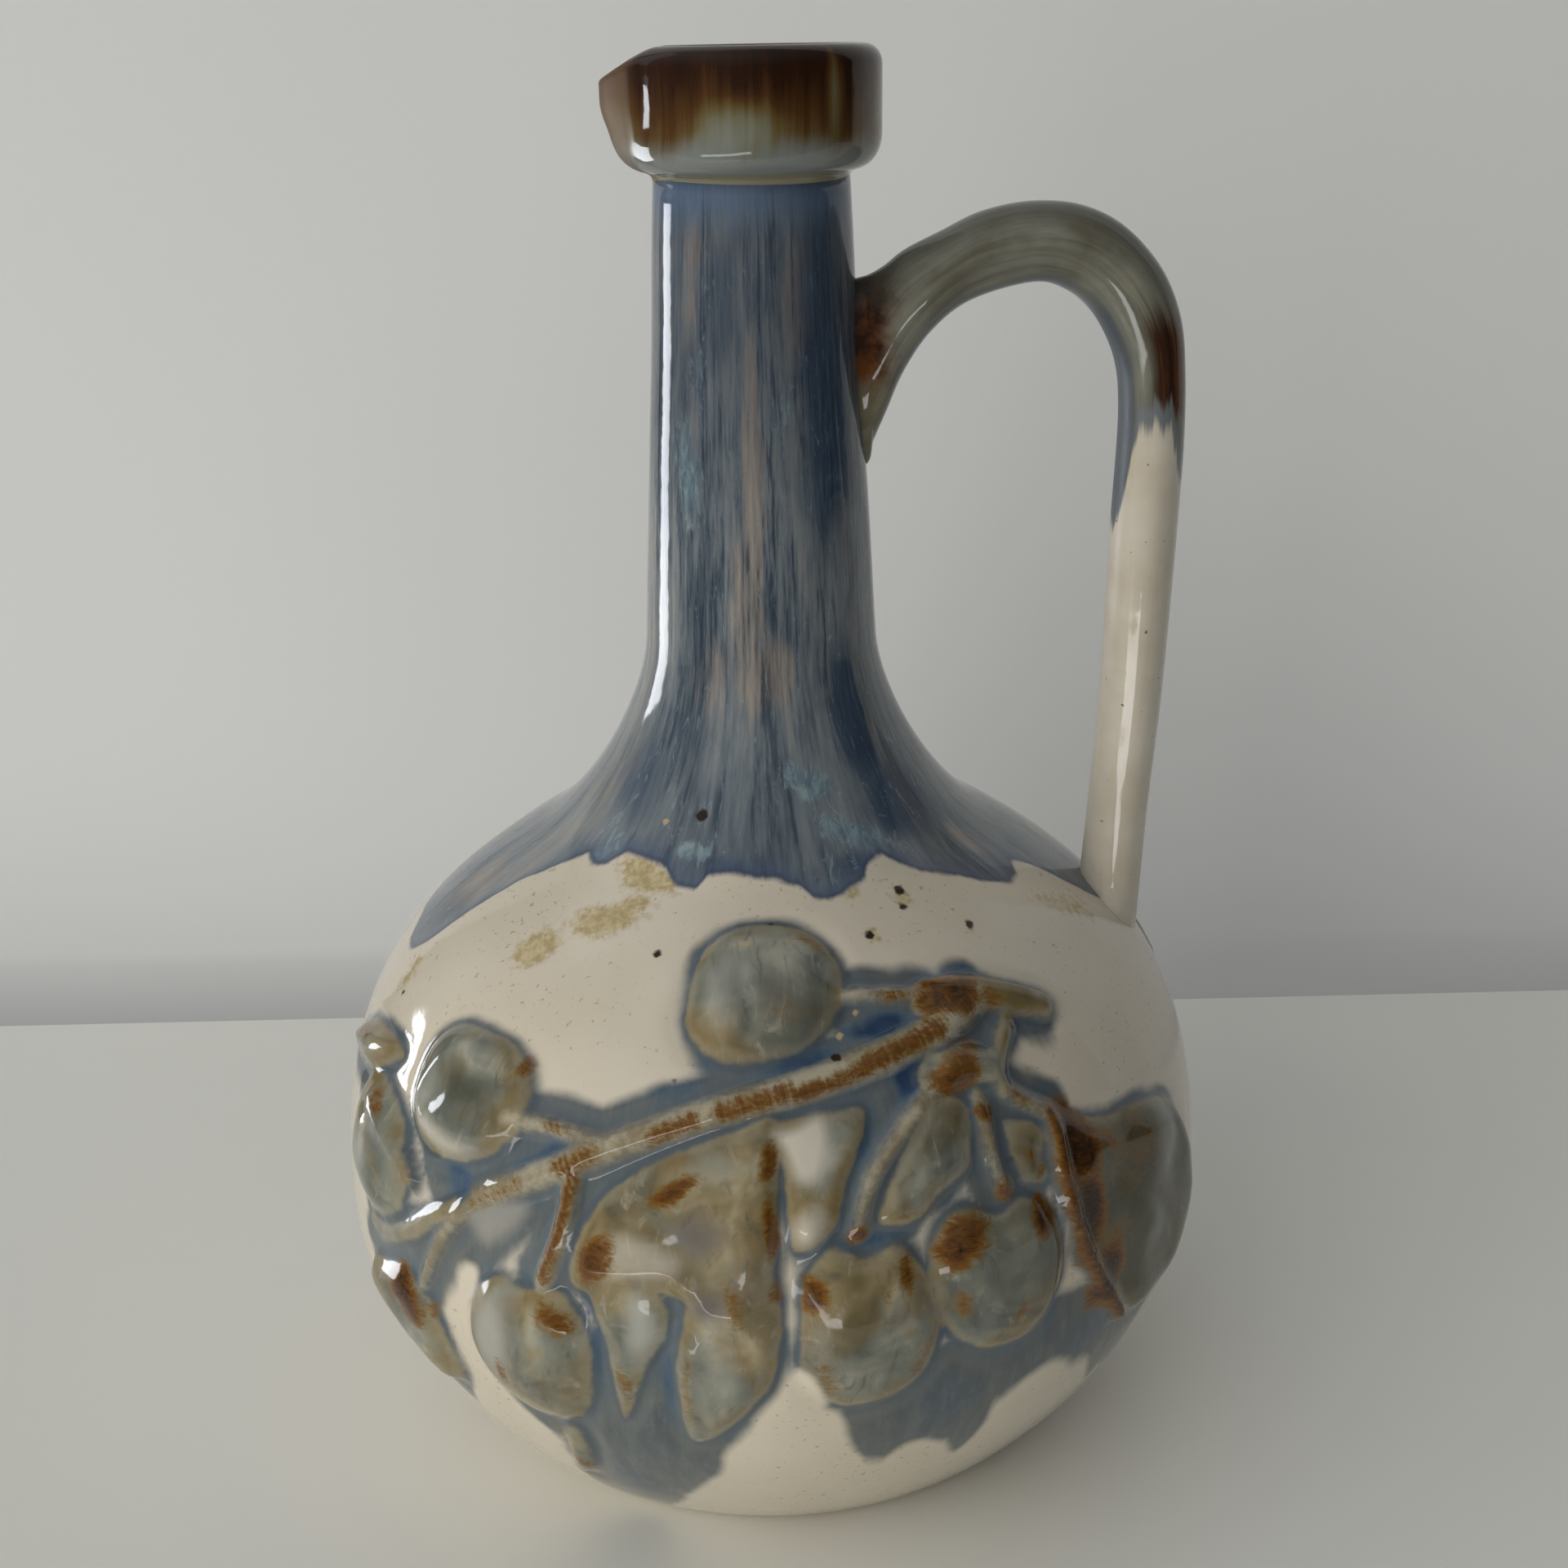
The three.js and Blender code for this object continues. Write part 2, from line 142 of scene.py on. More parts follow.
def bezierRun(start, startHandle, endHandle, end, count):
    corners = [Vector((r, z, 0)) for r, z in (start, startHandle, endHandle, end)]
    return [(p.x, p.y) for p in interpolate_bezier(*corners, count)]


def slopeAway(point, degrees, length):
    angle = math.radians(degrees)
    return (point[0] + length * math.cos(angle), point[1] + length * math.sin(angle))


# Vessel: belly, shoulder and neck under one skin of glaze, with the branch pressed on front and back
vesselForm = {
    "columns": 460,
    "foot": (52, 0), "footSlope": 29, "footEase": 8.3, "footRing": 8, "footRound": 2.5, "footRecess": 1.6,
    "ringCurve": ((-1.2, 1), (-0.3, 0.8), (0, 0.35), (0.6, 0)),  # out from the ring, share of the recess
    "widest": (80, 48.5), "lowFullness": 0.43, "highFullness": 0.58,
    "shoulder": (41.5, 113.7), "shoulderSlope": 31.4, "shoulderLowEase": 27.5, "shoulderHighEase": 11.5,
    "neckFoot": (20.3, 149.3), "flareTopEase": 12.4, "neckTop": (16.3, 227.6),
    "lowRows": 54, "highRows": 80, "flareRows": 27, "neckRows": 20,
    "thrown": (26, 5.5, 0.25),  # size, place in the noise and height of the lumps that throwing leaves
    "wall": 5, "bore": 12.3, "insideEvery": 9, "floor": 6, "floorBend": 4,
    "floorLine": ((46, 0.6), (30, 0), (0, 0)),  # radius, height over the floor
}


def vesselOutline(form):
    foot, widest, shoulder = form["foot"], form["widest"], form["shoulder"]
    neckFoot, neckTop = form["neckFoot"], form["neckTop"]
    lean = (neckTop[0] - neckFoot[0]) / (neckTop[1] - neckFoot[1])
    low = bezierRun(foot, slopeAway(foot, form["footSlope"], form["footEase"]),
                    (widest[0], widest[1] * (1 - form["lowFullness"])), widest, form["lowRows"])
    rise = shoulder[1] - widest[1]
    high = bezierRun(widest, (widest[0], widest[1] + rise * form["highFullness"]),
                     slopeAway(shoulder, -form["shoulderSlope"], form["shoulderLowEase"]),
                     shoulder, form["highRows"])
    flareTop = (neckFoot[0] - lean * form["flareTopEase"], neckFoot[1] - form["flareTopEase"])
    flare = bezierRun(shoulder, slopeAway(shoulder, 180 - form["shoulderSlope"], form["shoulderHighEase"]),
                      flareTop, neckFoot, form["flareRows"])
    neck = [(neckFoot[0] + (neckTop[0] - neckFoot[0]) * i / form["neckRows"],
             neckFoot[1] + (neckTop[1] - neckFoot[1]) * i / form["neckRows"])
            for i in range(1, form["neckRows"] + 1)]
    outside = low + high[1:] + flare[1:] + neck
    ring, recess = foot[0] - form["footRing"], form["footRecess"]
    under = [(0, recess), (ring * 0.5, recess)]
    under += [(ring + step, recess * share) for step, share in form["ringCurve"]]
    under.append((foot[0] - form["footRound"], 0))
    line = np.array(outside)
    along = np.gradient(line, axis=0)
    along /= np.linalg.norm(along, axis=1)[:, None]
    inner = line + np.stack([-along[:, 1], along[:, 0]], 1) * form["wall"]
    inside = [(max(r, form["bore"]), z) for r, z in inner[::-form["insideEvery"]]
              if z > form["floor"] + form["floorBend"]]
    inside[0] = (form["bore"], neckTop[1])
    inside += [(r, form["floor"] + z) for r, z in form["floorLine"]]
    return under, outside, inside


underside, outside, inside = vesselOutline(vesselForm)
vessel = latheOutline("vessel", underside + outside + inside, vesselForm["columns"])
rowCount = len(underside) + len(outside) + len(inside)
grid = readPoints(vessel).reshape(vesselForm["columns"], rowCount, 3)
skin = slice(len(underside), len(underside) + len(outside))  # rows that the glaze and the relief lie on
print("vessel turned:", grid.shape)

# Places on the skin: turn is degrees from the front to the handle, rise is millimetres over the widest line
profile = np.array(outside)
length = np.concatenate([[0], np.cumsum(np.hypot(*np.diff(profile, axis=0).T))])
widestRow = vesselForm["lowRows"] - 1
riseRow = length - length[widestRow]
radiusRow = profile[:, 0]
heading = np.gradient(profile, axis=0)
heading /= np.linalg.norm(heading, axis=1)[:, None]
belt = grid[:, skin.start + widestRow]
turnColumn = np.degrees(np.arctan2(belt[:, 0], -belt[:, 1]))
turn, rise = np.meshgrid(turnColumn, riseRow, indexing="ij")
localTurn = (turn + 90) % 180 - 90  # the back repeats the front
skinPoints = grid[:, skin, :].reshape(-1, 3) / mm
farAway = 99.0  # millimetres, more than any distance that matters below


def lumps(size, shift):
    return mottle(skinPoints, size, shift).reshape(turn.shape)


def wallRadiusAt(riseHere):
    return float(np.interp(riseHere, riseRow, radiusRow))


def flatPlace(turnHere, riseHere):  # millimetres round the belly and up it, true near that place
    return np.radians(localTurn - turnHere) * wallRadiusAt(riseHere), rise - riseHere


def smoothRun(places, count, closed):
    knots = np.array(places, dtype=float)
    knots = np.concatenate([knots[-1:], knots, knots[:2]] if closed else [knots[:1], knots, knots[-1:]])
    run = []
    for i in range(1, len(knots) - 2):
        a, b, c, d = knots[i - 1:i + 3]
        for t in np.linspace(0, 1, count, endpoint=False):
            run.append(0.5 * (2 * b + (c - a) * t + (2 * a - 5 * b + 4 * c - d) * t ** 2
                              + (3 * b - a - 3 * c + d) * t ** 3))
    return np.array(run if closed else run + [knots[-2]])


def flatRun(places, count, closed):  # every place of the skin and a smooth run, in flat millimetres
    middle = np.mean(places, axis=0)
    run = smoothRun(places, count, closed) - middle
    run[:, 0] = np.radians(run[:, 0]) * wallRadiusAt(middle[1])
    return (*flatPlace(*middle), run)


def offStretch(x, y, start, end):  # share along a straight stretch, and millimetres away from it
    ex, ey = end - start
    fromX, fromY = x - start[0], y - start[1]
    share = np.clip((fromX * ex + fromY * ey) / (ex * ex + ey * ey + 1e-9), 0, 1)
    return share, np.hypot(fromX - share * ex, fromY - share * ey)


def insideOutline(places):  # millimetres inside a closed outline, negative outside
    x, y, run = flatRun(places, 5, True)
    nearest = np.full(x.shape, 1e9)
    within = np.zeros(x.shape, bool)
    for start, end in zip(run, np.roll(run, -1, 0)):
        nearest = np.minimum(nearest, offStretch(x, y, start, end)[1])
        crossing = (end[0] - start[0]) * (y - start[1]) / (end[1] - start[1] + 1e-12) + start[0]
        within ^= ((start[1] > y) != (end[1] > y)) & (x < crossing)
    return np.where(within, nearest, -nearest)


def besideRun(places, widths):  # millimetres inside a twig of these end widths, and the share along it
    x, y, run = flatRun(places, 6, False)
    deepest = np.full(x.shape, -1e9)
    along = np.zeros(x.shape)
    for i in range(len(run) - 1):
        share, away = offStretch(x, y, run[i], run[i + 1])
        whole = (i + share) / (len(run) - 1)
        depth = (widths[0] + (widths[1] - widths[0]) * whole) / 2 - away
        nearer = depth > deepest
        deepest = np.where(nearer, depth, deepest)
        along = np.where(nearer, whole, along)
    return deepest, along


raggedSize, raggedReach = 6, 1.8  # millimetres, of the lumps that make the edges of glaze marks uneven
raggedX = lumps(raggedSize, 11.3) * raggedReach
raggedY = lumps(raggedSize, 17.9) * raggedReach
smallMark = 4  # half width under which a mark is less ragged


def patch(turnHere, riseHere, halfWide, halfTall, lean):  # 1 in the middle of a ragged oval, 0 at its edge
    x, y = flatPlace(turnHere, riseHere)
    x = x + raggedX * min(1, halfWide / smallMark)
    y = y + raggedY * min(1, halfTall / smallMark)
    c, s = math.cos(math.radians(lean)), math.sin(math.radians(lean))
    return 1 - np.hypot((x * c + y * s) / halfWide, (y * c - x * s) / halfTall)


def soften(field, reach):  # blur over about this many millimetres
    for axis, spacing in ((0, 1.1), (1, 1.08)):  # millimetres between columns and between rows
        spread = reach / spacing
        taps = np.arange(-int(3 * spread) - 1, int(3 * spread) + 2)
        weights = np.exp(-0.5 * (taps / spread) ** 2)
        weights /= weights.sum()
        if axis == 0:
            field = sum(w * np.roll(field, k, 0) for w, k in zip(weights, taps))
        else:
            rows = np.arange(field.shape[1])
            field = sum(w * field[:, np.clip(rows + k, 0, field.shape[1] - 1)] for w, k in zip(weights, taps))
    return field


# The pressed branch: places are (turn, rise), sizes and lifts are millimetres
branchRelief = {
    "fruits": {  # turn, rise, half width, half height, lift, depth of the dimple at the top
        "top": (-0.3, 64, 13, 12.6, 3.2, 0),
        "left": (-43.4, 38.4, 13.4, 11.8, 4, 0),
        "lowerLeft": (-29.6, -1, 12.2, 14.8, 4, 0.12),
        "lowerMiddle": (11.1, 8.4, 12.2, 14.6, 4, 0.26),
        "lowerRight": (27.7, 12.7, 12.8, 13.6, 4, 0.22),
        "edge": (-60, 20.5, 12, 12.4, 3.6, 0),
    },
    "twigs": {  # places, end widths, lift, whether the glaze runs off it to bare cream
        "branch": ([(-37.4, 23), (-31.3, 28), (-20.7, 36), (-9.4, 42.4), (2.3, 46.7), (14, 50.2), (26, 53.6),
                    (33, 57)], (4.8, 6.6), 2.3, True),
        "knot": ([(26, 58.4), (31, 58.8), (37, 56.6), (44.5, 51.8)], (7.6, 6), 2.6, False),
        "knotRidge": ([(37.5, 51.7), (34.2, 48), (32.4, 44.6), (32.2, 41.1)], (4, 3.4), 1.9, False),
        "cluster": ([(23.6, 46.6), (28, 47), (31.8, 45.4)], (7.5, 6), 2.3, False),
        "stalkTop": ([(12.6, 62), (19, 61), (26, 59.4)], (3, 3.4), 1.7, True),
        "stalkLeft": ([(-34.5, 37.4), (-27.5, 37.8), (-19.5, 36.8)], (3.6, 3), 1.7, True),
        "stalkLowerLeft": ([(-24, 33), (-24.8, 22), (-27, 13)], (3.4, 4), 2.2, True),
        "stalkMiddle": ([(22.1, 44.3), (17.3, 39.2), (13.2, 33.6), (11.1, 28.2),
                         (10.2, 23.6)], (4, 2.2), 1.9, True),
        "stalkRight": ([(28.6, 41.5), (28.2, 35.1), (28.4, 31.3), (29.4, 25.5)], (3.6, 2.4), 1.8, True),
        "twigLeaf": ([(32.1, 41.8), (34.8, 38.6), (37.9, 35.4)], (3.2, 3.4), 1.9, True),
        "forkLeft": ([(-38.6, 21.4), (-43.1, 13.3), (-47.1, 2.4)], (3.6, 2.8), 1.9, True),
        "tendril": ([(-41, 19.8), (-45.5, 15.4), (-50, 10.6), (-56, 6.4),
                     (-60, 6.4)], (3.6, 4.4), 1.2, False),
        "edgeRidge": ([(-63.6, 30.4), (-57.6, 26.2), (-51.8, 23.2), (-49.6, 20.1)], (3.4, 3), 3.8, False),
        "leafRib": ([(38.2, 35.9), (37.6, 30.3), (37.9, 23.7), (39.1, 14.9), (41.9, 5.6),
                     (47.1, -6.1)], (3.4, 3), 3.8, False),
    },
    "pads": {  # outline, lift, width of the rounded edge
        "leafUpper": ([(1.4, 42.6), (-4.3, 41), (-9.8, 38.4), (-15.9, 34), (-20.4, 28.6), (-23.4, 20.4),
                       (-23.9, 13.9), (-21.5, 12.1), (-17.2, 13), (-13.1, 14), (-9, 13), (-6, 11), (-3, 11),
                       (0.4, 12.7), (1, 26.2)], 2.6, 4),
        "leafLowLeft": ([(-21.6, 13), (-19, 17.6), (-14, 18), (-11.8, 13), (-11.6, 7), (-14.2, 1),
                         (-16, -6.9), (-18.2, -12.4), (-18.6, -5.6), (-19.6, 4)], 1.7, 4),
        "leafLowRight": ([(-10.2, 9), (-9, 15.4), (-3, 17), (1.2, 15), (0.9, 1.7), (-2.3, -6.5), (-7, -14.1),
                          (-10.2, -14.6), (-11, -4.5), (-11.2, 2.8)], 1.9, 4.5),
        "panelCream": ([(-0.2, 41.2), (6.6, 43.4), (12.4, 43.6), (12.4, 39.6), (9.6, 32), (8, 25.1),
                        (3.2, 21.4), (2, 25.5), (1.6, 34)], 1.3, 2.6),
        "panelGrey": ([(20.6, 42.6), (26.6, 42), (26, 33.3), (24.4, 29.9), (20.9, 27.8), (18.2, 24.4),
                       (13.8, 24.2), (12.6, 26), (14.8, 32.6)], 1.7, 4),
        "leafSmall": ([(31.6, 37.2), (36.2, 34.5), (36, 29.4), (36, 24.6), (32.2, 25.6), (31, 29.9),
                       (30.7, 34.5)], 1.6, 3),
        "leafRight": ([(38.4, 36.3), (42.4, 33.4), (49.6, 30.5), (57.4, 28.9), (65.8, 22.9), (69, 11.6),
                       (66.6, -0.9), (56.4, -9.5), (48.2, -7.3), (41, 10), (38.6, 24)], 3, 6),
        "leafLowerLeft": ([(-62, -2), (-51.8, 2.8), (-46.5, 1), (-45, -2.1), (-42.4, -11.8), (-44.8, -18.4),
                           (-52, -15), (-60, -9)], 3, 4.5),
        "leafLow": ([(-26.6, -16.1), (-24.3, -19), (-25.2, -29.3), (-28.4, -36.6), (-29.6, -32),
                     (-28.1, -22.4)], 2, 2.6),
        "leafEdge": ([(-82, 28), (-79, 33), (-72.1, 38), (-63.5, 39.4), (-59.1, 37.5), (-62.5, 33.4),
                      (-68, 30)], 2.8, 4),
    },
    "folds": {  # places, end widths, lift added to what is there: creases go down
        "curl": ([(-9.4, 17), (-7.6, 13.2), (-4, 11.6)], (6, 9), 1.8),
        "tanFold": ([(-9.6, 6.4), (-9.3, -3), (-9.7, -13.4)], (5, 2.4), 1.1),
        "veinLow": ([(-11.4, 10.5), (-12.6, 4), (-12.3, -4), (-10.9, -14)], (2.4, 2.2), -0.8),
        "leafCrest": ([(-20.5, 17), (-14, 18.2), (-8.8, 19.6)], (5, 4), 0.5),
        "leafRibLeft": ([(0, 38.2), (0.2, 28), (0.4, 13.6)], (3, 2.6), 0.7),
        "bud": ([(4.4, 27.6), (4.7, 23.8)], (6.6, 6.4), 1.2),
        "creaseRight": ([(45.5, 21.7), (52.3, 14.2), (58.5, 4)], (3, 2.6), -0.7),
        "lowerLeftRidge": ([(-34.4, 7.6), (-30.9, 5.7), (-29.6, 1.2), (-29.3, -8)], (3, 2.4), 0.6),
        "lowerLeftDip": ([(-32.6, -1), (-31.8, -7)], (3, 2.6), -0.5),
        "lowerLeftRidgeTop": ([(-33.6, 11.4), (-28, 9.4), (-24, 6)], (5, 4), 0.6),
        "leftFacet": ([(-50.6, 34.6), (-47.6, 41.6), (-42, 44.4)], (3, 2.6), 0.7),
        "leftHollow": ([(-46, 37), (-41, 38), (-38, 41)], (7, 7), -0.6),
        "topHollow": ([(-4, 66), (-2.6, 60)], (4, 5), -0.6),
        "topCrest": ([(-8.6, 66), (-6.8, 59)], (3.4, 3.4), 0.5),
    },
    "dishes": {  # outline, depth, width of the edge
        "leftFlat": ([(-51.2, 34.6), (-47.9, 42.4), (-41.9, 45.2), (-36.4, 43.2), (-34.4, 38.7),
                      (-40.2, 33.2), (-45.9, 31.4)], 1.0, 1.6),
        "topFlat": ([(-6, 68), (-4.6, 58), (0, 55), (6, 60), (6.6, 68), (2, 72)], 0.5, 2.2),
        "rightFlat": ([(24.4, 17.6), (31, 18), (34, 12), (33, 4), (28, 2.4), (24, 6)], 0.6, 2.4),
        "middleFlat": ([(6.6, 14), (11, 17.6), (15.6, 12), (15.6, 2), (11, -2), (6.8, 3)], 0.5, 2.6),
    },
    "fruitFullness": 2.3, "fruitWobble": (0.05, 0.04), "fruitCrown": 0.8, "dimpleWidth": 3.4,
    "padShare": 0.85, "padCrown": 1.1, "branchLength": 110, "twigCrown": 0.75, "softness": 0.85,
    "twigStart": (0.3, 0.16),  # share of the lift there, share of the length to the full lift
    "pooling": (2, 0.7),  # reach of the blur, height above or below it that counts as 1
    "groove": (0.45, 0.9, 1.2),  # depth, distance out from the relief, width
    "unevenness": [(9, 3.1, 0.6, 4), (4, 8.7, 0.18, 3)],  # lump size, place in the noise, lift, soft edge
}

height = np.zeros(turn.shape)
nearWood = np.full(turn.shape, -farAway)
nearLeaf = np.full(turn.shape, -farAway)
full = branchRelief["fruitFullness"]
wobble = branchRelief["fruitWobble"]
for fruitTurn, fruitRise, halfWide, halfTall, lift, dimple in branchRelief["fruits"].values():
    x, y = flatPlace(fruitTurn, fruitRise)
    bearing = np.arctan2(y, x)
    uneven = 1 + wobble[0] * np.sin(2 * bearing + fruitTurn) + wobble[1] * np.sin(3 * bearing + fruitRise)
    out = (np.abs(x / halfWide) ** full + np.abs(y / halfTall) ** full) ** (1 / full) / uneven
    out += dimple * np.exp(-(x / branchRelief["dimpleWidth"]) ** 2) * smoothStep(0, halfTall, y)
    height = np.maximum(height, lift * np.clip(1 - out ** 2, 0, 1) ** branchRelief["fruitCrown"])
    nearLeaf = np.maximum(nearLeaf, (1 - out) * min(halfWide, halfTall))
for outline, lift, edge in branchRelief["pads"].values():
    depth = insideOutline(outline)
    crown = np.sin(np.clip(depth / edge, 0, 1) * math.pi / 2) ** branchRelief["padCrown"]
    height = np.maximum(height, branchRelief["padShare"] * lift * crown)
    nearLeaf = np.maximum(nearLeaf, depth)
startLift, startLength = branchRelief["twigStart"]
for name, (places, widths, lift, bare) in branchRelief["twigs"].items():
    depth, along = besideRun(places, widths)
    if name == "branch":
        hatch = along * branchRelief["branchLength"]  # millimetres along it, for the strokes across it
    crown = 1 - np.clip(depth / (np.mean(widths) / 2), 0, 1)
    tip = startLift + (1 - startLift) * smoothStep(0, startLength, along)  # it rises out of the wall
    rounded = lift * tip * (1 - crown ** 2) ** branchRelief["twigCrown"]
    height = np.maximum(height, np.where(depth > 0, rounded, 0))
    if bare:
        nearWood = np.maximum(nearWood, depth)
    else:
        nearLeaf = np.maximum(nearLeaf, depth)
nearRelief = np.maximum(nearWood, nearLeaf)
grooveDepth, grooveOut, grooveWidth = branchRelief["groove"]
height -= grooveDepth * np.exp(-((nearRelief + grooveOut) / grooveWidth) ** 2) * (nearRelief < 0.3)
for places, widths, lift in branchRelief["folds"].values():
    height += lift * smoothStep(0, np.mean(widths) / 2, besideRun(places, widths)[0])
for outline, deep, edge in branchRelief["dishes"].values():
    height -= deep * smoothStep(0, edge, insideOutline(outline))
for size, shift, lift, edge in branchRelief["unevenness"]:
    height += lumps(size, shift) * lift * smoothStep(0, edge, nearRelief)
height = soften(height, branchRelief["softness"])
poolBlur, poolDepth = branchRelief["pooling"]
breaks = np.clip((soften(height, poolBlur) - height) / poolDepth, -1, 0.5)  # up in hollows, down on crests
lumpSize, lumpShift, lumpLift = vesselForm["thrown"]
height += lumps(lumpSize, lumpShift) * lumpLift * smoothStep(-60, -45, rise)  # none at the foot
outward = np.stack([heading[:, 1], -heading[:, 0]], 1)  # radius and height parts of the wall's normal
angle = np.radians(turn)
lifted = grid.copy()
lifted[:, skin, 0] += height * mm * outward[:, 0] * np.sin(angle)
lifted[:, skin, 1] -= height * mm * outward[:, 0] * np.cos(angle)
lifted[:, skin, 2] += height * mm * outward[:, 1]
print("branch pressed on: relief up to", round(float(height.max()), 2), "mm")

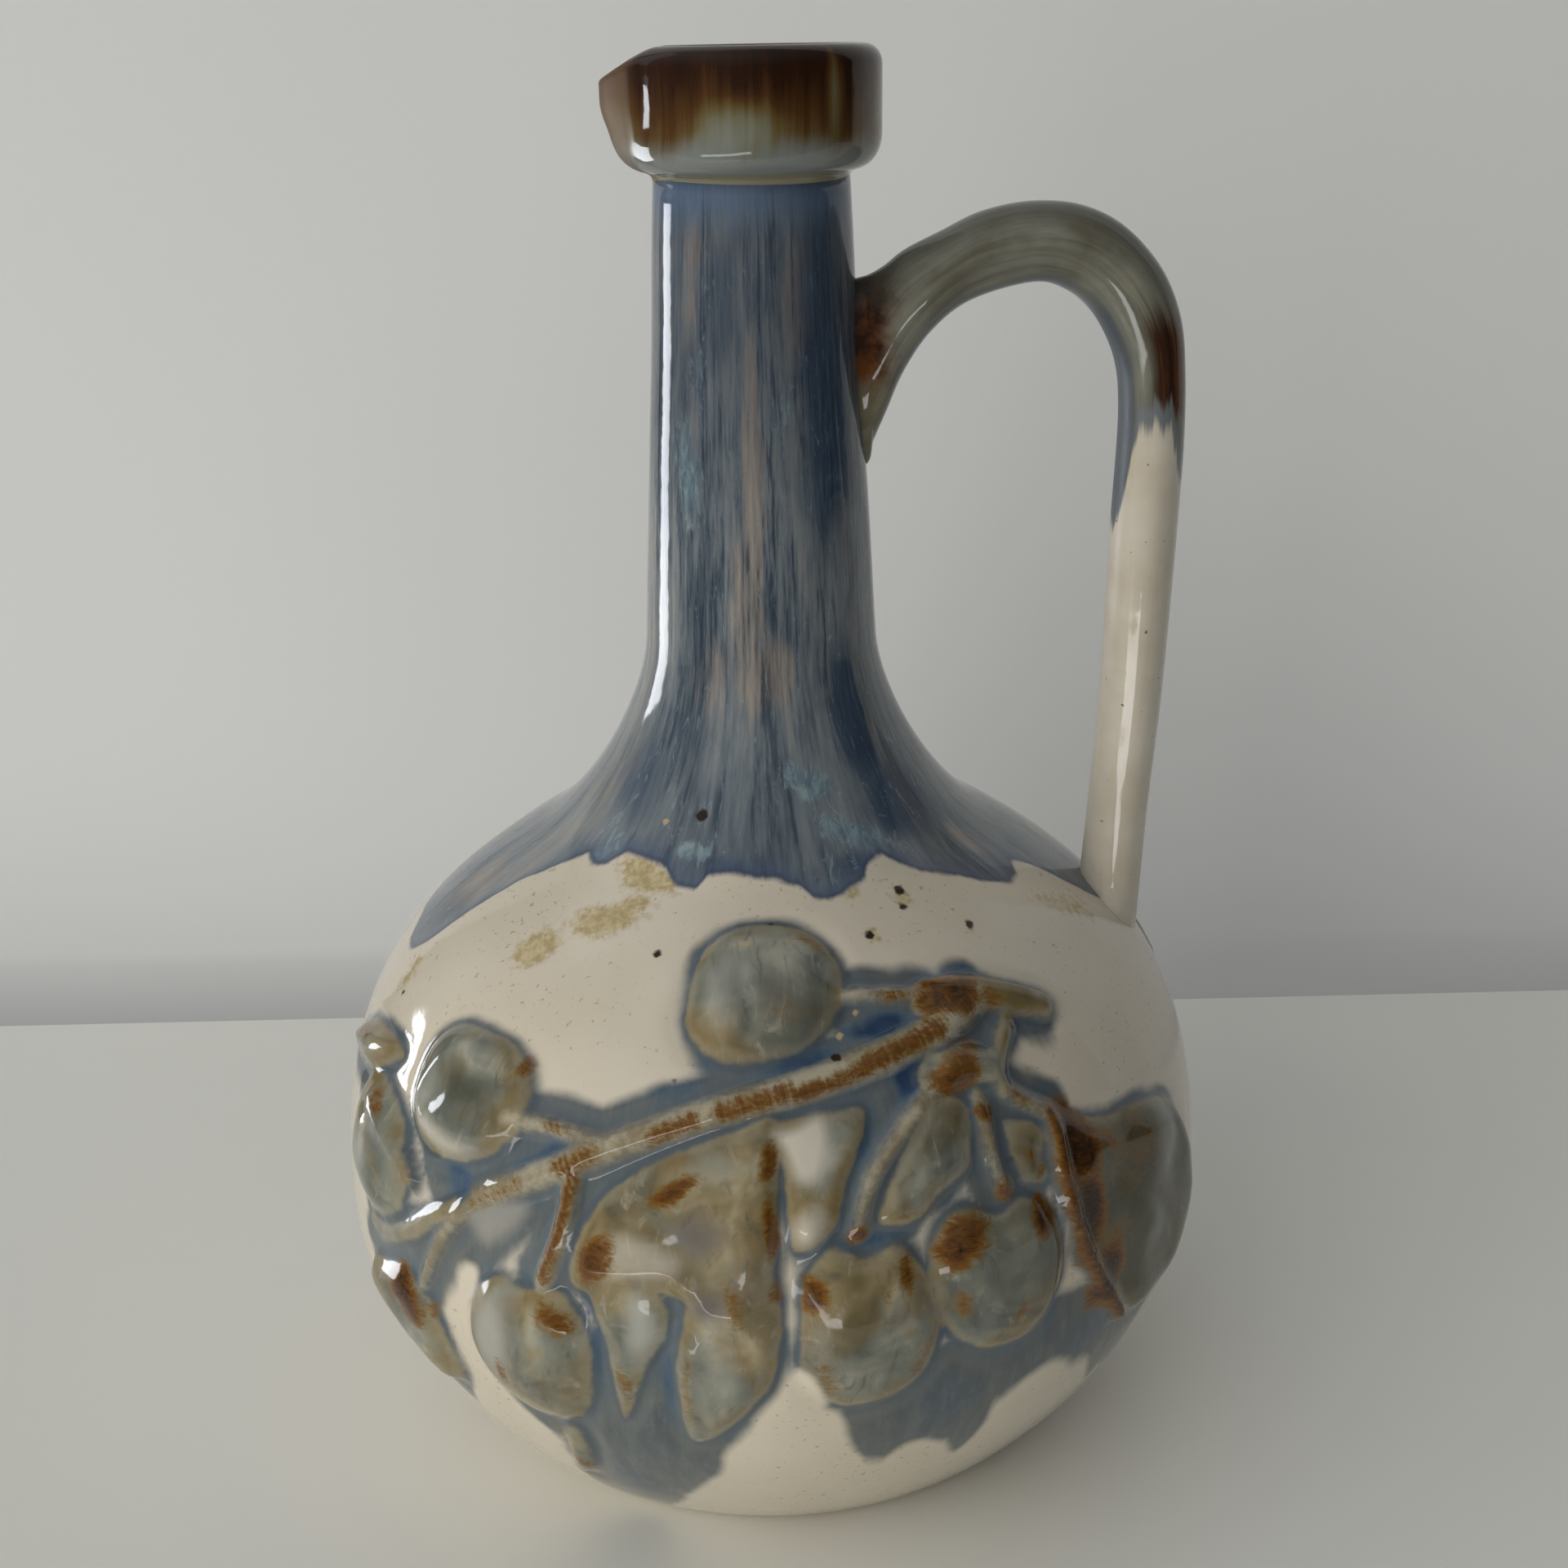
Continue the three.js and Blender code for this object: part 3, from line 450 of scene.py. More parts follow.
# Where each glaze lies: places are (turn, rise), in degrees and millimetres
glazePlaces = {
    "upperEdge": [
        (-90, 40), (-82.3, 43), (-77.1, 48.6), (-72.7, 56.8), (-69.6, 65), (-65.6, 74.1), (-58.6, 80.9),
        (-53.4, 84.8), (-49, 83), (-45.2, 83.8), (-40.5, 87.4), (-33, 87), (-26.8, 86.3), (-22.6, 83.2),
        (-17, 82.6), (-14.4, 85.9), (-9.7, 86.3), (-4.3, 85.5), (2.8, 85.4), (9.1, 83.4), (11.6, 81.3),
        (15.1, 80.4), (18.7, 81.4), (25.9, 83.8), (28.6, 86.2), (33.4, 87), (38, 84.2), (41.6, 82),
        (51.1, 77.9), (56.7, 74.4), (62, 72), (66, 72.4), (69.1, 74.6), (76.9, 73), (84, 68), (90, 66)],
    "sideEdge": 52, "woodReach": 4.2, "leafReach": 1.2, "flowReach": 0.4,
    "coverLumps": (7, 1.7, 0.9),  # size, place in the noise, reach
    "running": (0.62, 0.3, 9),  # how fast the cover narrows downwards, its swing, swings round the belly
    "flows": [
        [(-26.7, -10), (-28.6, -25.5), (-31, -38), (-30.6, -47), (-26, -46), (-22.2, -50), (-17, -47),
         (-12.4, -36), (-7.3, -24.8), (-6, -17.5), (-1.9, -8.1), (1, -1.6), (1.4, 10), (-10, 12), (-20, 8)],
        [(5, 2), (7.4, -6), (9.4, -16.7), (12.9, -20.6), (15, -16), (18, -15.6), (21.5, -18.7), (24.9, -27),
         (27.4, -21.7), (29, -10.6), (32.4, -6.5), (39.8, -8), (45, -16), (49.4, -25), (52, -16), (58, -10),
         (48, 2), (30, 4), (16, 2)],
        [(-41, 22), (-48, 17), (-57, 12), (-64, 4), (-62, -1), (-52, 3), (-46, 9), (-40, 18)],
    ],
    "creamGaps": [
        [(-37.6, 10), (-40.4, 8), (-41.2, 0), (-40, -7), (-39.4, -14), (-36.6, -22), (-31.6, -28),
         (-30, -24), (-34.6, -15.6), (-37.2, -9), (-38, 0)],
        [(1.4, -2.6), (3.2, 1.6), (5.2, -1.6), (6, -7), (2.6, -9)],
    ],
    "milky": [  # outline, strength
        ([(0.4, 40.6), (3, 41), (6.6, 43), (7.6, 39), (6, 33), (3.4, 33), (2, 37)], 1.25),
        ([(2.6, 24), (3, 27.6), (5.4, 29), (7, 27), (6.4, 24), (4.4, 22.2)], 0.8),
        ([(-21, 18), (-17, 16.4), (-11, 17.6), (-10, 21), (-14, 23.6), (-18, 24)], 0.5),
        ([(-51, 31), (-47, 28.6), (-42, 27.8), (-38, 31), (-43, 32), (-48, 33)], 0.7),
        ([(-40, 20), (-36, 24), (-30, 25), (-31, 20), (-36, 15)], 0.35),
    ],
    "ovals": {  # turn, rise, half width, half height, lean, strength
        "iron": [
            (-25.2, 7.3, 4.6, 3, -42, 1.0), (-32.6, -4.2, 1.5, 3.8, 10, 0.7),
            (-50.5, -1.6, 6.4, 3.4, -38, 1.25), (-27.4, -26, 1.9, 8, 12, 0.75),
            (-20.3, 18.8, 2.8, 5.6, -30, 1.05), (-10.8, 31.2, 5.6, 2.5, 28, 1.0),
            (0, 36, 1.6, 3.6, -20, 0.95), (0.2, 25.5, 1.5, 6.5, 0, 1.0), (0.6, 15.6, 1.5, 2.4, 0, 0.8),
            (5.2, 15, 3.2, 3.8, 5, 1.1), (15.6, 16.4, 1.8, 3.6, 0, 0.95), (12.8, 14, 1.1, 1.8, 0, 0.55),
            (6, 1, 3, 6.5, 18, 0.5), (17, 2, 2, 5, -12, 0.45), (11, 19, 6, 2, 0, 0.3),
            (22.8, 20.8, 6, 4.6, 18, 1.15), (33.9, 19.8, 2.5, 4.6, -16, 1.15), (21.8, 10, 1.8, 3, 10, 0.8),
            (29.6, 6.6, 1.4, 2.4, -20, 0.75), (29.4, 58.2, 6.6, 4, -8, 1.15), (36, 55.6, 4.4, 2.6, -22, 0.6),
            (26.4, 46.4, 5.6, 3.8, 10, 1.05), (29.6, 49.6, 2.6, 1.8, 0, 0.8), (38.2, 44.2, 2.4, 2.6, 0, 0.6),
            (41.8, 30.6, 4.4, 3.6, -30, 1.1), (46, 27, 2.6, 4, 20, 0.8), (52, 24, 9, 6, -20, 0.42),
            (-34.6, 46, 1.4, 2.8, 0, 0.85), (-72, 34.4, 6, 2.4, 20, 0.7), (-59, 29, 4, 1.8, -30, 0.8),
            (3.4, 58.6, 5, 4, 0, 0.3), (8.6, 72, 3, 1.6, -40, 0.55), (10.2, 23.8, 2, 1.8, 0, 1.1),
            (29.4, 26.6, 2, 2.6, 0, 0.95), (28.5, 38.6, 2.2, 2, 0, 1.0), (20, 60.6, 5, 1.2, -10, 0.75),
            (-27, 37.8, 4, 1.2, 0, 0.65), (34.4, 39, 3, 1.6, -40, 0.55), (-9.6, -2, 1.6, 9, -4, 0.5),
            (-17, -2.5, 1.8, 4.6, 8, 0.65), (-4, 14, 2, 5, 20, 0.55), (-45.4, -1.6, 2, 2, 0, 0.7),
            (33.6, 30.4, 1.2, 1.2, 0, 0.8), (34.8, 27, 1.4, 1.6, 0, 0.8), (19.4, 27.2, 1, 1, 0, 0.7),
            (16, 25.6, 4, 1.2, 0, 0.5), (40.4, 29, 4.6, 9, 0, 1.35), (41, 17, 4.4, 10, -6, 1.35),
            (43.8, 5, 4, 9, -16, 1.25), (48, 22, 5, 10, 20, 0.42)],
        "violet": [(-8, 24, 8, 6, 20, 0.8), (-7, 14, 5, 5, 0, 0.88), (-3, 17, 5, 6, 0, 0.48),
                   (3, 62, 8, 8, 0, 0.32)],
        "stain": [(-31, 84, 10, 5, -10, 1.1), (-34, 74.5, 12, 6, 30, 1.05), (-45, 65, 6.4, 6, 0, 1.0),
                  (21.2, 80.9, 2.6, 2, 0, 0.7), (32, 78.4, 4, 3, -30, 0.8), (-72, 48.4, 5, 7, 20, 0.6),
                  (70, 62, 12, 4, -40, 0.5), (21, 72.5, 2.6, 2.2, 0, 0.9), (42.6, 69.4, 2, 1.8, 0, 0.6)],
        "olive": [
            (53, 15, 42, 42, 0, 1.0), (-43, 38.8, 8, 6, 10, 0.8), (31, 56, 9, 6, 0, 0.6),
            (41, 54, 8, 5, -25, 0.7), (11, 6, 10, 12, 0, 0.3), (27, 12, 10, 11, 0, 0.35),
            (-60, 22, 10, 10, 0, 0.3), (20, 33, 8, 8, 0, 0.2), (-52, -6, 10, 9, 0, 0.4),
            (5, 60, 8, 8, 0, 0.35)],
        # pale patches: partly pale glaze, partly painted light on the lit left sides of the fruits and a
        # painted highlight on the edge fruit
        "pale": [
            (-6.4, 64, 5, 9, 0, 0.75), (-34, 2, 7, 13, 0, 1.15), (-14.6, 8.4, 4.6, 10, 0, 1.2),
            (-62, 18, 7, 9, 0, 0.9), (-49, 36, 4, 8, 0, 0.7), (6, 36, 5, 5, 0, 0.6), (-40, 12, 3, 5, 0, 0.5),
            (5.6, 6, 2.4, 6, 0, 0.4), (59, 22, 7, 13, -16, 0.5), (53, 6, 4, 9, -20, 0.3),
            (-5, 2, 4, 6, 0, 0.4), (25, 8, 3, 6, 0, 0.3), (44, 53.4, 1.8, 3, -20, 0.6)],
        "deep": [
            (-14, 47.5, 13, 3.4, 22, 1), (5, 51.5, 11, 2.8, 15, 1), (17, 56, 9, 2.8, 6, 1.6),
            (20.4, 46.8, 6, 4.4, 30, 1.7), (-29, 32.5, 9, 3, 38, 0.8), (-41, 24, 5, 5, 30, 1.1),
            (-35, 43, 3, 8, 0, 0.7), (0.9, 12, 1.8, 13, 0, 0.8), (12, 22.6, 9, 2.2, 0, 0.8),
            (19.6, 11, 2.2, 14, 0, 0.9), (36.4, 12, 2.4, 20, -12, 0.9), (-21, 5, 2.4, 13, 8, 0.9),
            (-12, -3, 2, 12, 0, 0.7), (-20, -34, 8, 9, 20, 0.5), (33.5, 62, 9, 2.4, -6, 0.7),
            (44, 37, 10, 3, -14, 0.8), (58, 31, 8, 3, -14, 0.6), (22, -10, 8, 9, 0, 0.55),
            (12, 39, 2.6, 8, -20, 0.7), (-25.6, 20, 2, 8, 0, 0.6), (38, 47, 2.4, 6, 20, 0.7),
            (42, -8, 10, 9, 0, 0.6)],
        "navy": [(-15.5, 185, 4.5, 20, 0, 0.5), (41, 168, 9, 52, 0, 1), (43, 113, 8, 24, 0, 1),
                 (50, 95, 11, 12, 0, 1), (28, 86, 16, 4.5, 0, 0.55), (-12, 87, 14, 4, 0, 0.5),
                 (-37, 171, 3.5, 12, 0, 0.5), (-80, 58, 16, 10, 40, 0.5), (-47, 100, 11, 15, 0, 0.55)],
        "taupe": [
            (-2, 150, 2.8, 44, 0, 0.95), (-9, 132, 4, 26, 0, 0.7), (24, 182, 4.5, 17, 0, 0.7),
            (-36, 178, 3, 26, 0, 0.6), (-27, 121, 9, 16, 0, 0.5), (3, 121, 8, 13, 0, 0.85),
            (-72, 98, 14, 14, 0, 0.5), (-30, 192, 5, 8, 0, 0.7), (-80, 66, 14, 10, 40, 0.8),
            (62, 84, 10, 8, 0, 0.6)],
        "teal": [(-39, 155, 4.5, 16, 0, 0.9), (-33, 174, 4, 12, 0, 0.6), (17, 102, 9, 5, -25, 0.85),
                 (27, 92, 11, 5, -25, 0.9), (-20, 89.5, 6.5, 2.6, 0, 0.9), (13, 163, 3.6, 9, 0, 0.6),
                 (0, 105, 5, 6, 0, 0.5), (-48, 88, 8, 6, 0, 0.7)],
    },
    "ovalEdges": {"iron": (-0.1, 0.75, 1.2), "violet": (0, 1, 1)},  # soft from, to, growth of the oval
    "ironRuns": [  # places, widths, strength
        ([(-38, 21.6), (-31, 28.2)], (3.4, 3.4), 0.45), ([(-26, 32), (-22, 35)], (4.5, 4.5), 0.75),
        ([(-14, 39.2), (-9.4, 42)], (4.4, 4.4), 0.8), ([(-5.6, 43.6), (2.6, 46.4)], (5, 5), 0.85),
        ([(4, 45.8), (14, 49.2)], (3.4, 3.8), 0.85), ([(14, 49.8), (25, 53.4)], (5, 5.6), 0.9),
        ([(-24, 32), (-24.8, 24), (-26.8, 14)], (3, 3.6), 0.9),
        ([(38.2, 35.6), (37.7, 26), (39.1, 14.9), (41.9, 5.6), (46.4, -4.6)], (3.6, 3.2), 1.15)],
    "spot": [(-20.4, 69.6, 0.9), (32.4, 79.8, 1.1), (30.9, 76.5, 0.9), (21, 72.5, 1), (42.6, 69.4, 1),
             (56.7, 59, 0.5), (58.3, 35.3, 0.5), (-69.6, 44.5, 0.7), (-12.7, 48, 0.6), (-20, 96.4, 1.3),
             (9.8, 51.5, 1), (21.9, 19.5, 0.8), (31, 30.3, 0.7), (13.2, 84.2, 0.7), (1.2, 76.4, 0.6)],
    "paleSpot": [(-31.8, 94, 0.9), (14.2, 58.9, 0.7), (11, 55.3, 0.8), (-3.4, 71.5, 0.9)],
}

cover = np.maximum(nearWood + glazePlaces["woodReach"], nearLeaf + glazePlaces["leafReach"])
lumpSize, lumpShift, lumpReach = glazePlaces["coverLumps"]
cover += lumps(lumpSize, lumpShift) * lumpReach
for outline in glazePlaces["flows"]:
    cover = np.maximum(cover, insideOutline(outline) + glazePlaces["flowReach"])
narrowing, swing, swingCount = glazePlaces["running"]
swings = [noise.noise(Vector((math.sin(a), math.cos(a), 0.3)) * swingCount) for a in np.radians(turnColumn)]
runny = narrowing + swing * np.array(swings)
for row in range(turn.shape[1] - 2, -1, -1):  # glaze runs down from what is above
    cover[:, row] = np.maximum(cover[:, row], cover[:, row + 1] - runny * (riseRow[row + 1] - riseRow[row]))
for outline in glazePlaces["creamGaps"]:
    cover = np.minimum(cover, -insideOutline(outline))

edgeTurn, edgeRise = np.array(glazePlaces["upperEdge"]).T
frontEdge = np.interp(localTurn, edgeTurn, edgeRise)
meet = smoothStep(70, 90, np.abs(localTurn))  # at the sides the front's edge meets the back's
upper = rise - (frontEdge * (1 - meet) + glazePlaces["sideEdge"] * meet + lumps(14, 4.4) * 2.2 * meet)

fields = {"cover": cover, "upper": upper, "wood": nearWood, "leaf": nearLeaf, "breaks": breaks,
          "hatch": hatch}
for name, places in glazePlaces["ovals"].items():
    low, high, grow = glazePlaces["ovalEdges"].get(name, (0, 0.8, 1))
    fields[name] = np.zeros(turn.shape)
    for ovalTurn, ovalRise, halfWide, halfTall, lean, strength in places:
        oval = patch(ovalTurn, ovalRise, halfWide * grow, halfTall * grow, lean)
        fields[name] = np.maximum(fields[name], strength * smoothStep(low, high, oval))
for places, widths, strength in glazePlaces["ironRuns"]:
    stroke = smoothStep(-0.5, np.mean(widths) / 2.4, besideRun(places, widths)[0])
    fields["iron"] = np.maximum(fields["iron"], strength * stroke)
fields["milky"] = np.zeros(turn.shape)
for outline, strength in glazePlaces["milky"]:
    fields["milky"] = np.maximum(fields["milky"], strength * smoothStep(-1.2, 2.6, insideOutline(outline)))
offSpots = -9.0  # millimetres inside a speck, where there is none
for name in ("spot", "paleSpot"):
    fields[name] = np.full(turn.shape, offSpots)
    for spotTurn, spotRise, size in glazePlaces[name]:
        fields[name] = np.maximum(fields[name], size - np.hypot(*flatPlace(spotTurn, spotRise)))
print("glaze laid")

writePoints(vessel, lifted.reshape(-1, 3))
elsewhere = {"cover": -20, "upper": -20, "wood": -20, "leaf": -20, "spot": offSpots, "paleSpot": offSpots}
for name, field in fields.items():  # each field of the skin is carried to every row of the vessel
    whole = np.full((vesselForm["columns"], rowCount), elsewhere.get(name, 0), dtype=float)
    whole[:, skin] = field
    storeField(vessel, name, whole)
streakRadius = 20  # round the neck, so that runs keep to the meridians and widen down the flare
streak = np.zeros((vesselForm["columns"], rowCount, 3))
streak[:, :, 0] = (streakRadius * np.sin(np.radians(turnColumn)))[:, None]
streak[:, :, 1] = (-streakRadius * np.cos(np.radians(turnColumn)))[:, None]
streak[:, skin, 2] = rise
storeVector(vessel, "streak", streak)
closeAndSmooth(vessel)
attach(vessel, "root")
sprigNames = [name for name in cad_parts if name.startswith(("front_", "back_"))]
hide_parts("body", "neck", *sprigNames)
print("vessel finished:", len(vessel.data.polygons), "faces")

# Mouth collar: a thick ring with a pulled lip
collarForm = {
    "columns": 200, "radius": 21.8, "bottom": 227.5, "height": 20.4, "neckRadius": 16.25, "seat": 0.8,
    "bulgeRise": 7, "rimRound": 3.2, "rimWall": 4.6, "bore": 12.35, "socket": 233.2,
    "lipReach": 4.3, "lipDrop": 4.2, "lipHalfAngle": 37, "across": 0.97, "shift": 0.6, "unround": 0.012,
    "olive": [  # where the brown thins: turn from the front, share of the height, half sizes, strength
        (-6, 0.38, 26, 0.34, 0.55), (38, 0.7, 7, 0.6, 0.4), (82, 0.5, 22, 0.5, 0.5),
        (-74, 0.5, 18, 0.6, 0.22), (170, 0.4, 30, 0.34, 0.5), (-140, 0.6, 12, 0.5, 0.4)],
}


def collarOutline(form):
    neck, bottom, wide, bore = form["neckRadius"], form["bottom"], form["radius"], form["bore"]
    top = bottom + form["height"]
    inside = wide - form["rimWall"]
    rim = form["rimRound"]
    soft = form["rimWall"] - rim
    bulgeTop = bottom + form["bulgeRise"]
    fillet = (neck + 2, bottom + 0.9)  # where the hollow under the ring turns into its bulge
    quarter = math.pi / 2
    seat = bottom - form["seat"]
    under = bezierRun((neck, seat), (neck + 0.1, bottom + 0.5), (neck + 1, bottom + 0.6), fillet, 7)
    bulge = bezierRun(fillet, (neck + 4, bottom + 1.6), (wide, bottom + 3.4), (wide, bulgeTop), 12)
    side = [(wide, bulgeTop + (top - rim - bulgeTop) * i / 8) for i in range(1, 8)]
    crest = [(wide - rim + rim * math.cos(a), top - rim + rim * math.sin(a))
             for a in np.linspace(0, quarter, 9)]
    brow = [(inside + soft - soft * math.sin(a), top - soft + soft * math.cos(a))
            for a in np.linspace(0, quarter, 6)]
    throat = bezierRun((inside, top - soft), (inside, top - 8),
                       (bore, form["socket"] + 5), (bore, form["socket"] - 4), 12)
    return under + bulge[1:] + side + crest + brow[1:] + throat[1:] + [(bore, seat)]


ringLine = collarOutline(collarForm)
ringLine.append(ringLine[0])
collar = latheOutline("mouthCollar", ringLine, collarForm["columns"])
flat = readPoints(collar) / mm
ring = flat.copy()
away = np.abs(np.degrees(np.arctan2(flat[:, 1], -flat[:, 0])))  # degrees from the lip, on the side of -X
pull = 0.5 + 0.5 * np.cos(math.pi * np.minimum(away / collarForm["lipHalfAngle"], 1))
share = np.clip((flat[:, 2] - collarForm["bottom"]) / collarForm["height"], 0, 1)
opened = smoothStep(0.02, 0.4, share)  # pulling the lip draws the ring in across
leaning = smoothStep(-0.1, 0.65, share)
ring[:, :2] *= (1 + (collarForm["across"] - 1) * opened)[:, None]
ring[:, :2] *= (1 + collarForm["lipReach"] * pull * leaning / collarForm["radius"])[:, None]
ring[:, 0] += collarForm["shift"] * opened
ring[:, 2] -= collarForm["lipDrop"] * pull * share ** 3
ring[:, :2] *= (1 + collarForm["unround"] * mottle(flat, 18, 2.2) * share)[:, None]  # never quite round
writePoints(collar, ring * mm)
ringAngle = np.arctan2(flat[:, 0], -flat[:, 1])
around = collarForm["radius"] * np.stack([np.sin(ringAngle), -np.cos(ringAngle)], 1)
storeVector(collar, "streak", np.column_stack([around, flat[:, 2]]))
oliveRun = np.zeros(len(flat))
for oliveTurn, oliveUp, halfTurn, halfUp, strength in collarForm["olive"]:
    swing = (np.degrees(ringAngle) - oliveTurn + 180) % 360 - 180
    near = 1 - np.hypot(swing / halfTurn, (share - oliveUp) / halfUp)
    oliveRun = np.maximum(oliveRun, strength * smoothStep(0, 0.9, near))
inward = collarForm["radius"] - np.hypot(flat[:, 0], flat[:, 1])
storeField(collar, "up", share)
storeField(collar, "olive", oliveRun)
# worn dull lip; its lighter colour in the glaze below is partly a painted reflection
storeField(collar, "worn", smoothStep(0.05, 0.4, pull))
storeField(collar, "inner", smoothStep(2.2, 4.2, inward) * smoothStep(0.3, 0.5, share))
closeAndSmooth(collar)
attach(collar, "root")
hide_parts("mouth_collar")
print("collar finished:", len(collar.data.polygons), "faces")

# Handle: pulled clay from the neck over an arch to the shoulder, on the side of +X
handleForm = {
    "outer": [(10, 208.6), (17.4, 210.4), (19.5, 211), (22, 212.4), (25.5, 215), (31.5, 217.9), (38.3, 221),
              (46.7, 222.5), (55.1, 221.7), (62.4, 218.1), (68.7, 211.3), (72.3, 203.1), (73.5, 193.8),
              (73.8, 182.2), (73.4, 168.8), (72.7, 152.7), (71.7, 134.4), (70.2, 115.6), (69.2, 98),
              (68.2, 86)],
    "inner": [(10, 177), (18.5, 178.4), (20.2, 183), (22.4, 188), (25.4, 194.8), (30, 201.4), (36.6, 206.4),
              (46.9, 209.2), (52.6, 207.9), (57, 204.3), (60.1, 199.2), (61.7, 194.4), (62.3, 189.1),
              (62.3, 181.6), (61.7, 168), (61.3, 152.9), (60.7, 135), (59.4, 116), (58.2, 100), (57.4, 88)],
    "crestPoint": 7, "width": 14, "steps": 8, "sides": 44, "neckNarrow": 2, "neckNarrowLength": 12,
    "footFlare": 1.2, "footFlareLength": 6, "unevenness": 0.35,
    "specks": [(67.9, 163.9, 0.6), (65, 123.7, 0.5), (65.6, 110.4, 0.5), (66.5, 143, 0.3)],  # x, z, radius
}
outerRun = smoothRun(handleForm["outer"], handleForm["steps"], False)
innerRun = smoothRun(handleForm["inner"], handleForm["steps"], False)
route = (outerRun + innerRun) / 2
reach = (outerRun - innerRun) / 2
rows = np.concatenate([[0], np.cumsum(np.hypot(*np.diff(route, axis=0).T))])
crestRow = handleForm["crestPoint"] * handleForm["steps"]
goingDown = np.arange(len(rows)) > crestRow
belly = profile[widestRow + 7:]  # from just over the widest line, where the radius falls as the height grows
fromNeck = np.where(goingDown, farAway, route[:, 0] - np.interp(route[:, 1], profile[:, 1], profile[:, 0]))
fromBelly = np.where(goingDown, route[:, 1] - np.interp(-route[:, 0], -belly[:, 0], belly[:, 1]), farAway)
narrow = handleForm["neckNarrow"] * np.clip(1 - fromNeck / handleForm["neckNarrowLength"], 0, 1)
swell = handleForm["footFlare"] * np.clip(1 - fromBelly / handleForm["footFlareLength"], 0, 1.1) ** 3
around = np.linspace(0, 2 * math.pi, handleForm["sides"], endpoint=False)
halfThick = handleForm["width"] / 2
tube = np.zeros((len(rows), handleForm["sides"], 3))
tube[:, :, 0] = route[:, :1] + reach[:, :1] * np.cos(around)
tube[:, :, 1] = (halfThick - narrow + swell)[:, None] * np.sin(around)
tube[:, :, 2] = route[:, 1:] + reach[:, 1:] * np.cos(around)
knobbly = mottle(tube.reshape(-1, 3), 16, 6.1).reshape(tube.shape[:2])
tube[:, :, 1] += knobbly * handleForm["unevenness"] * np.sin(around)
deselectAll()
bpy.ops.mesh.primitive_grid_add(x_subdivisions=handleForm["sides"], y_subdivisions=len(rows) - 1, size=1)
handle = bpy.context.active_object
handle.name = "handle"
loops = np.concatenate([tube, tube[:, :1]], 1).reshape(-1, 3)  # the last side lies on the first
writePoints(handle, loops * mm)
handle.location = (0, 0, 0)
perRow = handleForm["sides"] + 1
roundabout = np.tile(np.append(around, 2 * math.pi), len(rows))
limbShare = smoothStep(rows[crestRow] + 8, rows[crestRow] + 18, rows)  # past the crest, on the way down
speck = np.full(len(loops), offSpots)
for speckX, speckZ, size in handleForm["specks"]:
    speck = np.maximum(speck, size - np.linalg.norm(loops - (speckX, -halfThick, speckZ), axis=1))
storeVector(handle, "streak", np.stack([halfThick * np.cos(roundabout), halfThick * np.sin(roundabout),
                                        np.repeat(rows, perRow)], 1))
storeField(handle, "outerSide", np.cos(roundabout))
storeField(handle, "joint", np.repeat(fromNeck, perRow))
storeField(handle, "landing", np.repeat(fromBelly, perRow))
storeField(handle, "limb", np.repeat(limbShare, perRow))
storeField(handle, "speck", speck)
closeAndSmooth(handle)
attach(handle, "root")
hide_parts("handle")
print("handle finished:", len(handle.data.polygons), "faces")

# Glazes: colours follow the fields of the piece, roughened by noise whose lump sizes are millimetres
smooth = {"interpolation_type": "SMOOTHSTEP"}
multiply = {"operation": "MULTIPLY"}
weigh = {"operation": "MULTIPLY_ADD"}  # the first input times the second, added to the third
even = (1, 1, 1)


def startGlaze(name, fields, patterns):
    material, tree = newMaterial(name)
    metres = addNode(tree, "TexCoord", out="Object")
    marks = {"place": addNode(tree, "VectorMath", {"Vector": metres, "Scale": 1 / mm}, operation="SCALE"),
             "flow": addNode(tree, "Attribute", out="Vector", attribute_name="streak")}
    for field in fields:
        marks[field] = addNode(tree, "Attribute", out="Fac", attribute_name=field)
    for pattern, (coordinates, stretch, size, detail, roughness, distortion) in patterns.items():
        vector = addNode(tree, "Mapping", {"Vector": marks[coordinates], "Scale": stretch})
        cloud = addNode(tree, "TexNoise", {"Vector": vector, "Scale": 1 / size, "Detail": detail,
                                           "Roughness": roughness, "Distortion": distortion})
        marks[pattern] = addNode(tree, "Math", (cloud, 0.5), operation="SUBTRACT")  # lumps round zero
    return material, tree, SimpleNamespace(**marks)


# One glaze over another as a field goes from low to high, roughened by a weighted pattern, inside a mask
def layGlaze(tree, under, over, field, low, high, most=1, rough=None, within=None):
    level = addNode(tree, "Math", (*rough, field), **weigh) if rough else field
    share = addNode(tree, "MapRange", (level, low, high, 0, most), **smooth)
    if within is not None:
        share = addNode(tree, "Math", (share, within), **multiply)
    return addNode(tree, "MixRGB", (share, under, over))


def finishGlaze(piece, material, peel, strength, look):  # fired to glass, with a slow ripple in it
    tree = material.node_tree
    ripple = addNode(tree, "Bump", {"Height": peel, "Strength": strength, "Distance": 0.6 * mm})
    shader = addNode(tree, "BsdfPrincipled", {"IOR": 1.52, "Normal": ripple, **look})
    addNode(tree, "OutputMaterial", {"Surface": shader})
    piece.data.materials.append(material)


